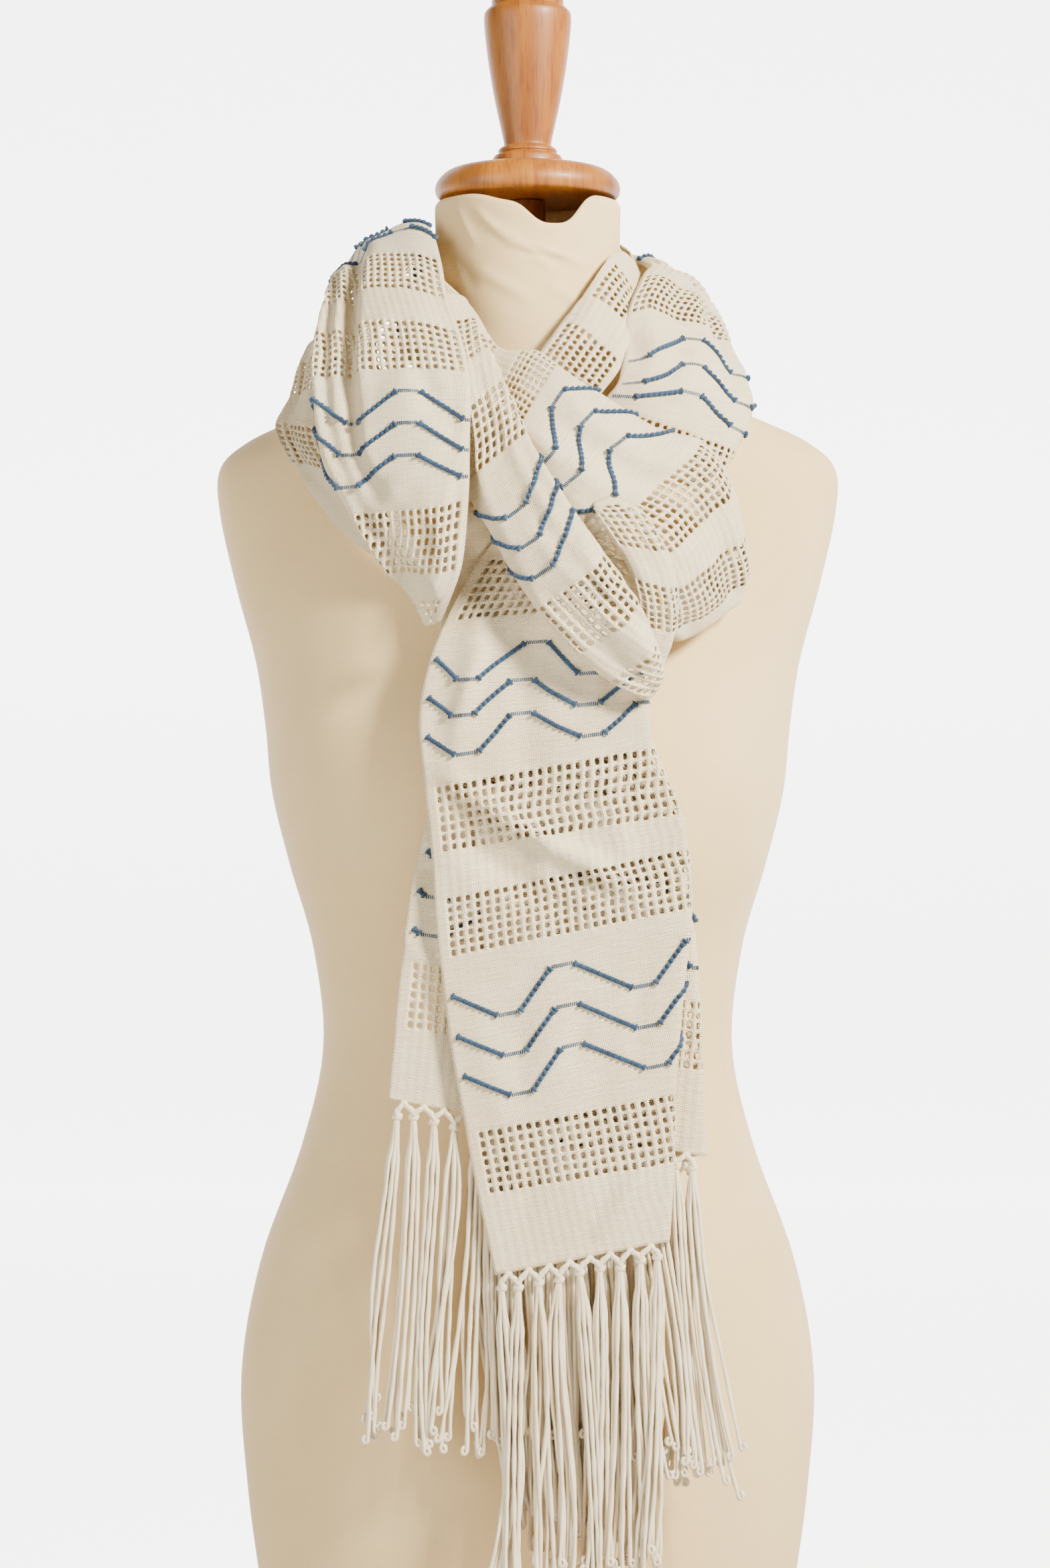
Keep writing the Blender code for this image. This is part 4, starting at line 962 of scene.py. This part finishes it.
def wovenThreads():
    # Plain weave on flat coordinates in metres: the product of a wave across the warp and one across
    # the weft, each on top in turn. The second output is a mask of painted shade: one where both are at nought,
    # between the threads, where shade falls.
    group, start, end = newGroup("wovenThreads", (("Flat", "NodeSocketVector", None),
                                                  ("Thread", "NodeSocketFloat", 0.0011)),
                                 (("Height", "NodeSocketFloat"), ("ShadeInGaps", "NodeSocketFloat")))
    split = group.nodes.new("ShaderNodeSeparateXYZ")
    group.links.new(start.outputs["Flat"], split.inputs[0])
    warp, weft = (mathNode(group, "SINE", mathNode(group, "MULTIPLY", mathNode(
        group, "DIVIDE", split.outputs[axis], start.outputs["Thread"]), math.pi)) for axis in (0, 1))
    over = mathNode(group, "MULTIPLY", mathNode(group, "MULTIPLY", warp, weft), 0.35)
    edges = mathNode(group, "MULTIPLY", mathNode(group, "ABSOLUTE", warp), mathNode(group, "ABSOLUTE", weft))
    group.links.new(mathNode(group, "ADD", over, edges), end.inputs["Height"])
    group.links.new(mathNode(group, "SUBTRACT", 1.0, edges, True), end.inputs["ShadeInGaps"])
    return group


def ribbedCords(pitch, repeat, middle, half, fade):
    # The warp cords of the openwork, which go on as faint ribs in the plain cloth between: a wave
    # across the flat coordinates, strong within half of the middle of each repeat and weak elsewhere.
    group, start, end = newGroup("ribbedCords", (("Flat", "NodeSocketVector", None),),
                                 (("Height", "NodeSocketFloat"),))
    split = group.nodes.new("ShaderNodeSeparateXYZ")
    group.links.new(start.outputs["Flat"], split.inputs[0])
    wave = mathNode(group, "COSINE", mathNode(group, "MULTIPLY", split.outputs[0], 2 * math.pi / pitch))
    ahead = mathNode(group, "ADD", split.outputs[1], 4.5 * repeat - middle)        # keeps it above nought
    away = mathNode(group, "ABSOLUTE", mathNode(group, "SUBTRACT", mathNode(
        group, "MODULO", ahead, repeat), repeat / 2))
    inside = mathNode(group, "MULTIPLY", mathNode(group, "SUBTRACT", half, away), 1 / fade, True)
    amount = mathNode(group, "ADD", mathNode(group, "MULTIPLY", inside, 0.8), 0.2)
    group.links.new(mathNode(group, "MULTIPLY", wave, amount), end.inputs["Height"])
    return group


def softUnevenness():
    # Slow changes of tone and fine fuzz over a cloth or a wood, on object coordinates.
    group, start, end = newGroup("softUnevenness", (("Where", "NodeSocketVector", None),
                                                    ("Wide", "NodeSocketFloat", 14.0),
                                                    ("Fine", "NodeSocketFloat", 900.0)),
                                 (("Tone", "NodeSocketFloat"), ("Fuzz", "NodeSocketFloat")))
    for label, scale, detail, out in (("wide", "Wide", 3.0, "Tone"), ("fine", "Fine", 2.0, "Fuzz")):
        noise = group.nodes.new("ShaderNodeTexNoise")
        noise.label = label
        noise.inputs["Detail"].default_value = detail
        group.links.new(start.outputs["Where"], noise.inputs["Vector"])
        group.links.new(start.outputs[scale], noise.inputs["Scale"])
        group.links.new(noise.outputs["Fac"], end.inputs[out])
    return group


def twistedPlies():
    # Slanting fibres of a twisted yarn, on coordinates round it and along it in metres.
    group, start, end = newGroup("twistedPlies", (("Flat", "NodeSocketVector", None),
                                                  ("Twist", "NodeSocketFloat", 0.0016)),
                                 (("Height", "NodeSocketFloat"),))
    split = group.nodes.new("ShaderNodeSeparateXYZ")
    group.links.new(start.outputs["Flat"], split.inputs[0])
    slant = mathNode(group, "ADD", split.outputs[0], split.outputs[1])
    turns = mathNode(group, "DIVIDE", slant, start.outputs["Twist"])
    wave = mathNode(group, "SINE", mathNode(group, "MULTIPLY", turns, 2 * math.pi))
    group.links.new(wave, end.inputs["Height"])
    return group


def newMaterial(name, colour, roughness):
    # A plain material to build on, with its node tree and its shader.
    made = bpy.data.materials.new(name)
    made.use_nodes = True
    made.diffuse_color = (*colour, 1)
    shader = made.node_tree.nodes["Principled BSDF"]
    shader.inputs["Base Color"].default_value = (*colour, 1)
    shader.inputs["Roughness"].default_value = roughness
    return made, made.node_tree, shader


def placed(tree, group, **values):
    # A node group put into a material, with its own values for some sockets.
    node = tree.nodes.new("ShaderNodeGroup")
    node.node_tree = group
    for label, value in values.items():
        node.inputs[label].default_value = value
    return node


def toneRamp(tree, source, dark, light, low=0.3, high=0.7):
    # From dark to light as the source goes from low to high.
    ramp = tree.nodes.new("ShaderNodeValToRGB")
    ramp.color_ramp.elements[0].position, ramp.color_ramp.elements[0].color = low, (*dark, 1)
    ramp.color_ramp.elements[1].position, ramp.color_ramp.elements[1].color = high, (*light, 1)
    tree.links.new(source, ramp.inputs["Fac"])
    return ramp.outputs["Color"]


def bumped(tree, shader, height, strength, distance):
    # Relief for a shader, from a height and the depth in metres that it stands for.
    bump = tree.nodes.new("ShaderNodeBump")
    bump.inputs["Strength"].default_value = strength
    bump.inputs["Distance"].default_value = distance
    tree.links.new(height, bump.inputs["Height"])
    tree.links.new(bump.outputs["Normal"], shader.inputs["Normal"])


def mixedColour(tree, factor, first, second, kind="MIX"):
    # A colour mix node; each of its three inputs is a value or another node's output.
    mix = tree.nodes.new("ShaderNodeMix")
    mix.data_type = "RGBA"
    mix.blend_type = kind
    for socket, value in zip((mix.inputs[0], mix.inputs[6], mix.inputs[7]), (factor, first, second)):
        if isinstance(value, (int, float)):
            socket.default_value = value
        elif isinstance(value, tuple):
            socket.default_value = (*value, 1)
        else:
            tree.links.new(value, socket)
    return mix.outputs[2]


def surfaceSpots(tree, look, uneven, threads, flat):
    # Joins the flat coordinates to a thread group and sets the slow tones and fuzz beside it. Gives
    # the node of the tones and the thread relief with a share of the fuzz on it.
    where = tree.nodes.new("ShaderNodeTexCoord")
    spots = placed(tree, uneven, Wide=look["wide"], Fine=look["fine"])
    tree.links.new(flat.outputs[0], threads.inputs["Flat"])
    tree.links.new(where.outputs["Object"], spots.inputs["Where"])
    fuzz = mathNode(tree, "MULTIPLY", spots.outputs["Fuzz"], look["fuzz"])
    return spots, mathNode(tree, "ADD", threads.outputs["Height"], fuzz)


def clothMaterial(name, look, weave, ribs, uneven):
    # Woven cotton: threads, ribs, and slubs, which are noise drawn out along the weft. The shade
    # colour is painted shade. It lies in the gaps between the threads, where shade falls, and in thin places of the
    # slubs, which are random unevenness of the yarn darkened with painted shade.
    made, tree, shader = newMaterial(name, look["light"], look["roughness"])
    flat = tree.nodes.new("ShaderNodeUVMap")
    flat.uv_map = "weave"
    threads = placed(tree, weave, Thread=look["thread"])
    spots, height = surfaceSpots(tree, look, uneven, threads, flat)
    tone = toneRamp(tree, spots.outputs["Tone"], look["dark"], look["light"])
    cords = placed(tree, ribs)
    tree.links.new(flat.outputs[0], cords.inputs["Flat"])
    drawn = tree.nodes.new("ShaderNodeMapping")
    drawn.inputs["Scale"].default_value = look["slubs"]
    tree.links.new(flat.outputs[0], drawn.inputs["Vector"])
    slub = tree.nodes.new("ShaderNodeTexNoise")
    slub.inputs["Scale"].default_value = 1.0
    slub.inputs["Detail"].default_value = 2.0
    tree.links.new(drawn.outputs[0], slub.inputs["Vector"])
    # Painted shade: the colour is darkened towards the shade colour in the gaps between the threads and in thin places
    # of the slubs.
    thin = mathNode(tree, "MULTIPLY", mathNode(tree, "SUBTRACT", 0.5, slub.outputs["Fac"]), look["slubTone"])
    gap = mathNode(tree, "ADD", mathNode(tree, "MULTIPLY", threads.outputs["ShadeInGaps"], look["gap"]), thin, True)
    tree.links.new(mixedColour(tree, gap, tone, look["shade"]), shader.inputs["Base Color"])
    height = mathNode(tree, "ADD", height, mathNode(tree, "MULTIPLY", cords.outputs["Height"], look["rib"]))
    height = mathNode(tree, "ADD", height, mathNode(tree, "MULTIPLY", slub.outputs["Fac"], look["slub"]))
    bumped(tree, shader, height, look["bump"], look["depth"])
    shader.inputs["Sheen Weight"].default_value = look["sheen"]
    shader.inputs["Sheen Roughness"].default_value = 0.5
    shader.inputs["Specular IOR Level"].default_value = 0.25
    return made


def yarnMaterial(name, look, plies, uneven):
    # Twisted yarn, for the fringe and the zigzag lines.
    made, tree, shader = newMaterial(name, look["light"], look["roughness"])
    flat = tree.nodes.new("ShaderNodeUVMap")
    flat.uv_map = "weave"
    spots, height = surfaceSpots(tree, look, uneven, placed(tree, plies, Twist=look["twist"]), flat)
    tone = toneRamp(tree, spots.outputs["Tone"], look["dark"], look["light"])
    tree.links.new(tone, shader.inputs["Base Color"])
    bumped(tree, shader, height, look["bump"], look["depth"])
    shader.inputs["Sheen Weight"].default_value = look["sheen"]
    shader.inputs["Specular IOR Level"].default_value = 0.3
    return made


def woodMaterial(name, look, uneven):
    # Grain runs up the wood: noise drawn out along the height, with darker pores.
    made, tree, shader = newMaterial(name, look["light"], look["roughness"])
    where = tree.nodes.new("ShaderNodeTexCoord")
    stretch = tree.nodes.new("ShaderNodeMapping")
    stretch.inputs["Scale"].default_value = look["stretch"]
    tree.links.new(where.outputs["Object"], stretch.inputs["Vector"])
    spots = placed(tree, uneven, Wide=look["wide"], Fine=look["fine"])
    tree.links.new(stretch.outputs[0], spots.inputs["Where"])
    tone = toneRamp(tree, spots.outputs["Tone"], look["dark"], look["light"], 0.35, 0.65)
    pores = toneRamp(tree, spots.outputs["Fuzz"], look["pore"], (1, 1, 1), 0.35, 0.5)
    tree.links.new(mixedColour(tree, 1.0, tone, pores, "MULTIPLY"), shader.inputs["Base Color"])
    bumped(tree, shader, spots.outputs["Fuzz"], look["bump"], look["depth"])
    shader.inputs["Coat Weight"].default_value = look["coat"]
    shader.inputs["Coat Roughness"].default_value = 0.15
    return made


def jerseyMaterial(name, look, weave, uneven):
    # Fine knit: rows up the form and round it. The flat coordinates are the angle round the upright
    # axis, times a radius, and the height.
    made, tree, shader = newMaterial(name, look["light"], look["roughness"])
    where = tree.nodes.new("ShaderNodeTexCoord")
    split = tree.nodes.new("ShaderNodeSeparateXYZ")
    tree.links.new(where.outputs["Object"], split.inputs[0])
    angle = mathNode(tree, "ARCTAN2", split.outputs[1], split.outputs[0])
    around = mathNode(tree, "MULTIPLY", angle, look["radius"])
    flat = tree.nodes.new("ShaderNodeCombineXYZ")
    tree.links.new(around, flat.inputs[0])
    tree.links.new(split.outputs[2], flat.inputs[1])
    spots, height = surfaceSpots(tree, look, uneven, placed(tree, weave, Thread=look["thread"]), flat)
    tone = toneRamp(tree, spots.outputs["Tone"], look["dark"], look["light"])
    tree.links.new(tone, shader.inputs["Base Color"])
    bumped(tree, shader, height, look["bump"], look["depth"])
    shader.inputs["Sheen Weight"].default_value = 0.15
    shader.inputs["Specular IOR Level"].default_value = 0.2
    return made


print("camera and light")
view = {"place": (-0.0016, -2.4, 0.63), "lens": 90, "sensor": 36}
camera = bpy.data.objects.new("camera", bpy.data.cameras.new("camera"))
camera.location = view["place"]
camera.rotation_euler = (math.radians(90), 0, 0)
camera.data.lens = view["lens"]
camera.data.sensor_fit = "VERTICAL"
camera.data.sensor_height = view["sensor"]
bpy.context.scene.collection.objects.link(camera)
bpy.context.scene.camera = camera

lights = {
    "key": {"place": (1.7, -1.55, 2.1), "target": (0, 0, 0.75), "size": 0.55, "energy": 290,
            "colour": (1.0, 0.955, 0.87)},
    "fill": {"place": (-1.9, -1.8, 1.1), "target": (0, 0, 0.7), "size": 1.6, "energy": 60,
             "colour": (1.0, 0.965, 0.91)},
}
for name, lamp in lights.items():
    light = bpy.data.lights.new(name, "AREA")
    light.size, light.energy, light.color = lamp["size"], lamp["energy"], lamp["colour"]
    made = bpy.data.objects.new(name, light)
    made.location = lamp["place"]
    made.rotation_euler = (Vector(lamp["target"]) - Vector(lamp["place"])).to_track_quat("-Z", "Y").to_euler()
    bpy.context.scene.collection.objects.link(made)
studio = {"colour": (1, 1, 1, 1), "strength": 0.06}
world = bpy.data.worlds.new("studio")
world.use_nodes = True
world.node_tree.nodes["Background"].inputs["Color"].default_value = studio["colour"]
world.node_tree.nodes["Background"].inputs["Strength"].default_value = studio["strength"]
bpy.context.scene.world = world

print("materials")
weaveGroup, unevenGroup, plyGroup = wovenThreads(), softUnevenness(), twistedPlies()
ribGroup = ribbedCords(*(weavePattern[key] * mm
                         for key in ("pitch", "repeat", "ribMiddle", "ribHalf", "ribFade")))
looks = {
    # The cotton's shade, gap and slubTone set the painted shade between the threads and in thin slubs.
    "cotton": {"light": (0.98, 0.85, 0.585), "dark": (0.92, 0.765, 0.485), "shade": (0.60, 0.42, 0.22),
               "thread": 0.00105, "gap": 0.3, "rib": 0.5, "slub": 2.2, "slubTone": 0.55,
               "slubs": (70.0, 620.0, 1.0), "wide": 16.0, "fine": 1400.0, "fuzz": 0.5,
               "bump": 0.8, "depth": 0.0006, "sheen": 0.12, "roughness": 0.85},
    "cord": {"light": (0.97, 0.85, 0.62), "dark": (0.88, 0.73, 0.49), "twist": 0.0011, "wide": 40.0,
             "fine": 1600.0, "fuzz": 0.6, "bump": 0.6, "depth": 0.0003, "sheen": 0.2, "roughness": 0.7},
    "indigo": {"light": (0.022, 0.07, 0.145), "dark": (0.008, 0.028, 0.065), "twist": 0.0012, "wide": 90.0,
               "fine": 1800.0, "fuzz": 0.6, "bump": 0.6, "depth": 0.0003, "sheen": 0.25, "roughness": 0.75},
    "jersey": {"light": (0.78, 0.58, 0.30), "dark": (0.72, 0.52, 0.25), "thread": 0.0012, "radius": 0.1,
               "wide": 9.0, "fine": 1200.0, "fuzz": 0.6, "bump": 0.3, "depth": 0.0003, "roughness": 0.85},
    "wood": {"light": (0.40, 0.145, 0.011), "dark": (0.235, 0.07, 0.005), "pore": (0.78, 0.68, 0.6),
             "stretch": (1.0, 0.15, 0.09), "wide": 70.0, "fine": 700.0, "bump": 0.15, "depth": 0.0002,
             "coat": 0.04, "roughness": 0.5},
    "paper": {"light": (0.55, 0.55, 0.54), "roughness": 0.9},
    "glow": {"light": (0.9, 0.9, 0.9), "roughness": 0.9, "colour": (1, 1, 1, 1), "strength": 4.0},
}
cotton = clothMaterial("cottonCloth", looks["cotton"], weaveGroup, ribGroup, unevenGroup)
cord = yarnMaterial("cottonCord", looks["cord"], plyGroup, unevenGroup)
indigo = yarnMaterial("indigoYarn", looks["indigo"], plyGroup, unevenGroup)
jersey = jerseyMaterial("creamJersey", looks["jersey"], weaveGroup, unevenGroup)
wood = woodMaterial("varnishedWood", looks["wood"], unevenGroup)
paper, _, _ = newMaterial("palePaper", looks["paper"]["light"], looks["paper"]["roughness"])
glowing, _, glow = newMaterial("whiteBackdrop", looks["glow"]["light"], looks["glow"]["roughness"])
glow.inputs["Emission Color"].default_value = looks["glow"]["colour"]
glow.inputs["Emission Strength"].default_value = looks["glow"]["strength"]

print("floor and backdrop")
backdrop = {"low": -3.2, "edge": 0.72, "bend": 0.9, "back": 4.6, "top": 4.5, "half": 5.0}
bend = np.linspace(0, math.pi / 2, 17)
wall = np.concatenate([[(backdrop["edge"], 0.0)],
                       np.stack([backdrop["back"] - backdrop["bend"] + backdrop["bend"] * np.sin(bend),
                                 backdrop["bend"] * (1 - np.cos(bend))], 1),
                       [(backdrop["back"], backdrop["top"])]])
ground = np.array(((backdrop["low"], 0.0), (backdrop["edge"], 0.0)))
for name, profile, material in (("floor", ground, paper), ("backdrop", wall, glowing)):
    sweep = np.stack([np.stack([0 * profile[:, 0] + x, profile[:, 0], profile[:, 1]], 1)
                      for x in (-backdrop["half"], backdrop["half"])], 1) / mm
    newObject(name, sweep.reshape(-1, 3), gridFaces(len(profile), 2)[:, ::-1].tolist(), material)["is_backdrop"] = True


def finished(piece, slot, *nodes):
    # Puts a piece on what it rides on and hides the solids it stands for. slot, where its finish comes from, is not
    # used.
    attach(piece, "root")
    if nodes:
        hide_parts(*nodes)


print("the dress form")
form = torsoPiece("covered_form", jersey)
finished(form, "jersey", "form_torso")
turnedProfiles = {
    "neck_post": ((0, 986.7), (10, 986.7), (11, 986.2), (11, 956), (10.6, 955.3), (0, 955.3)),
    "neck_cap": ((0, 1008), (34, 1008), (48, 1005.5), (54.5, 1000), (57, 995), (56.2, 989.5), (52.5, 987),
                 (0, 987)),
    "handle": ((0, 1129), (6, 1128.5), (14, 1125), (20, 1118), (22, 1110), (22, 1107), (22, 1106), (24.5, 1104),
               (27, 1101), (26.4, 1090), (24, 1070), (20.2, 1048), (16.6, 1032), (14.6, 1023), (14.4, 1020),
               (17, 1019), (18.4, 1017), (17, 1015.5), (20.5, 1014.5), (21.8, 1011), (22, 1008.3), (0, 1008.3)),
    "stand_pole": ((0, 139.7), (17, 139.7), (17.5, 139), (17.5, 31), (17, 30.3), (0, 30.3)),
    "stand_base": ((0, 30), (60, 30), (120, 28), (186, 23), (197, 20), (201, 18), (206, 16), (210, 10),
                   (209, 4), (205, 0), (200, 0), (0, 0)),
}
for node, profile in turnedProfiles.items():
    finished(turnedPiece(node + "_turned", profile, wood), "wood", node)

print("the wound cloth")
# The solids of each turn: name, section lengths, points along and across, the side that shows
# (-1 is the front), and whether it joins another at either end.
stretches = {
    "outer": (("outer_right", -160, 24.2, 11, 14, -1, (0, 1)), ("outer_back", 25, 356.8, 17, 14, 1, (1, 1)),
              ("outer_left", 360, 705, 17, 14, -1, (1, 0))),
    "inner": (("inner_right", -270, -120, 9, 10, -1, (0, 1)), ("inner_back", -119.2, 174.6, 13, 10, 1, (1, 1)),
              ("loop_centre", 175, 580, 21, 10, -1, (1, 0))),
    "cross": (("cross_band", 170, 515, 16, 10, -1, (0, 0)),),
    "loop": (("loop_end", 380, 530, 9, 8, -1, (0, 0)),),
    "shoulder": (("shoulder_left", 390, 670, 13, 10, -1, (0, 0)),),
}
# rows and folds: as above. anchor, gap: see clothSheet. zigzags, slips, creases: see the functions.
# flat: the size it was cut to, in metres.
wound = {
    "outer_turn": {"rows": outerTurn, "drawn": outerTurnDrawn, "folds": outerFolds, "laid": "outer",
                   "from": -160, "to": 705, "anchor": 1.0, "gap": 5.0,
                   "zigzags": ((516, -46, 40, 80), (304, -30, 40, 80), (92, 0, 40, 80), (-120, -18, 40, 80)),
                   "slips": ((-160, 17, 17), (-98, 17, 17), (-43, 10, 10), (20, 0, 0),
                             (476, 0, 0), (540, 5, 5), (600, 5, 5), (661, 0, 0)),
                   "flat": (0.125, 0.87),
                   "creases": ((380, 0.30, 640, 0.34, 6.0, 5.0, 110), (400, 0.44, 600, 0.42, 3.6, 5.0, 110),
                               (420, 0.18, 610, 0.22, 5.0, 4.5, 110), (395, 0.37, 600, 0.37, -4.0, 3.5, 110),
                               (560, 0.88, 680, 0.62, 2.4, 5.0, 110), (470, 0.66, 560, 0.60, 1.6, 6.0, 110),
                               (-120, 0.30, 0, 0.42, 3.0, 5.0, 80), (-80, 0.66, 10, 0.60, 2.4, 5.0, 80),
                               (-130, 0.70, -40, 0.45, 2.2, 4.5, 80))
                              + smallCreases(11, 26, 370, 640, 110) + smallCreases(12, 14, -150, -20, 80)},
    "inner_turn": {"rows": innerTurn, "folds": innerFolds, "laid": "inner",
                   "from": -270, "to": 580, "anchor": 0.5, "gap": 5.2,
                   "zigzags": ((304, 10, 40, 80), (92, 0, 40, 80)),
                   "slips": ((180, 0, 0), (265, 20, 8), (306, 26, 12),
                             (356, 24, 4), (409, 4, 0), (440, 0, 0)),
                   "flat": (0.07, 0.85),
                   "creases": ((250, 0.35, 420, 0.40, 3.4, 5.0, 80), (290, 0.66, 470, 0.58, 4.2, 5.0, 80),
                               (300, 0.52, 420, 0.50, -3.0, 4.0, 80))
                              + smallCreases(13, 20, 200, 520, 80) + smallCreases(14, 8, -240, -110, 50)},
    "cross_fold": {"rows": crossBand, "folds": crossFolds, "laid": "cross",
                   "from": 170, "to": 515, "anchor": 0.0, "gap": 5.6,
                   "zigzags": ((304, -19, 40, 80),),
                   "slips": ((200, 0, 0), (265, 9, 9), (350, 9, 9), (385, 6, 6), (409, 0, 0)),
                   "flat": (0.045, 0.345),
                   "creases": ((215, 0.55, 400, 0.70, 3.4, 4.5, 70), (230, 0.28, 360, 0.22, 2.4, 5.0, 70),
                               (330, 0.45, 470, 0.62, 2.4, 4.5, 70), (360, 0.80, 480, 0.66, 2.0, 4.0, 70))
                              + smallCreases(15, 16, 200, 460, 70)},
    "loop_fold": {"rows": loopEnd, "folds": loopFolds, "laid": "loop",
                  "from": 380, "to": 530, "anchor": 0.5, "gap": 5.0,
                  "zigzags": (), "slips": ((0, 20, 20),), "flat": (0.021, 0.15),
                  "creases": smallCreases(16, 8, 390, 520, 40)},
    "shoulder_layer": {"rows": shoulderLeft, "folds": shoulderFolds, "laid": "shoulder",
                       "from": 390, "to": 670, "anchor": 0.5, "gap": 5.0,
                       "zigzags": (), "slips": ((0, -60, -60),), "flat": (0.042, 0.28),
                       "creases": smallCreases(17, 14, 400, 640, 60)},
}
for name, piece in wound.items():
    bare = woundShape(piece["rows"], piece["folds"])
    creased = woundShape(piece.get("drawn", piece["rows"]), piece["folds"], piece["creases"])
    shape = laidShape(creased, bare, stretches[piece["laid"]])
    surface = measured(shape, piece["from"], piece["to"], piece["slips"])
    cloth = clothSheet(name, surface, piece["anchor"], piece["gap"], noHem, cotton)
    nodes = [stretch[0] for stretch in stretches[piece["laid"]]]
    finished(cloth, "cotton", *nodes)
    sewn = []
    if piece["zigzags"]:
        sewn = list(zigzagYarns(name + "_zigzag", surface, piece["anchor"], piece["zigzags"], indigo))
        for yarn in sewn:
            finished(yarn, "cotton")

print("the tails and their fringes")
tails = {
    "front_end": {"rows": frontTail, "folds": frontTailFolds, "node": "front_tail", "to": 476, "gap": 5.6,
                  "flat": (0.21, 0.476),
                  "zigzags": ((304, 21, 35, 74), (92, 30, 34, 80)), "drift": (-6, 8), "seed": 3,
                  "creases": ((315, 0.04, 218, 0.76, 9.0, 7.5, 135), (280, 0.06, 196, 0.60, -4.0, 8.0, 135),
                              (250, 0.55, 185, 0.98, 4.5, 8.0, 135), (66, 1.04, 10, 0.58, 7.0, 7.0, 135),
                              (400, 0.28, 300, 0.12, 4.0, 7.0, 135), (430, 0.70, 330, 0.88, 4.0, 8.0, 135),
                              (180, 0.10, 60, 0.22, 1.6, 9.0, 135)) + smallCreases(18, 18, 10, 380, 135),
                  "slips": ((304, 2, 2), (325, 8, 8), (350, 8, 8), (377, 4, 4), (409, 0, 0)),
                  "fringes": ("fringe_front", "fringe_front_under")},
    "back_end": {"rows": backTail, "folds": backTailFolds, "node": "back_tail", "to": 420, "gap": 5.6,
                 "flat": (0.235, 0.42),
                 "zigzags": ((92, 9, 40, 80),), "drift": (-24, 34), "seed": 5,
                 "creases": smallCreases(19, 22, 10, 330, 120),
                 "slips": ((92, 0, 0), (112, -3, -3), (150, -10, -10), (180, -8, -8), (237, 0, 0)),
                 "fringes": ("fringe_back", "fringe_back_under")},
}
for name, piece in tails.items():
    plain = tailShape(piece["rows"], piece["folds"], piece["creases"])
    along = np.linspace(0, piece["to"], tailSamples[0])
    share = np.tile(np.linspace(0, 1, tailSamples[1]), (tailSamples[0], 1))
    shift = nodePoints(piece["node"])[:, 1].min() - plain(along, share)[..., 1].min()
    shape = lambda along, share, plain=plain, shift=shift: plain(along, share) + (0, shift, 0)
    print("  ", name, "moved", round(float(shift), 2), "mm")
    surface = measured(shape, 0, piece["to"], piece["slips"])
    cloth = clothSheet(name, surface, 0.0, piece["gap"], weavePattern["hem"], cotton)
    finished(cloth, "cotton", piece["node"])
    sewn = list(zigzagYarns(name + "_zigzag", surface, 0.0, piece["zigzags"], indigo))
    hem = shape(np.array([0.0]), np.array([[0.0, frontShare, frontShare + turnShare, 1.0]]))[0]
    front, back = np.linalg.norm(hem[1] - hem[0]), np.linalg.norm(hem[3] - hem[2])
    whole = front + back + math.pi * foldRadius
    leaves = ((leafMargin, front / whole - leafMargin), (1 - back / whole + leafMargin, 1 - leafMargin))
    for node, leaf, seed in zip(piece["fringes"], leaves, (1, 2)):
        fringe = fringePiece(node + "_cords", surface, leaf, piece["drift"], cord, piece["seed"] * 10 + seed)
        finished(fringe, "cotton", node)
        sewn.append(fringe)
    for yarn in sewn[:2]:
        finished(yarn, "cotton")

toLists = lambda box: [[float(value) for value in corner] for corner in box]
{"cad": toLists(cadBox), "visual": toLists(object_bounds())}
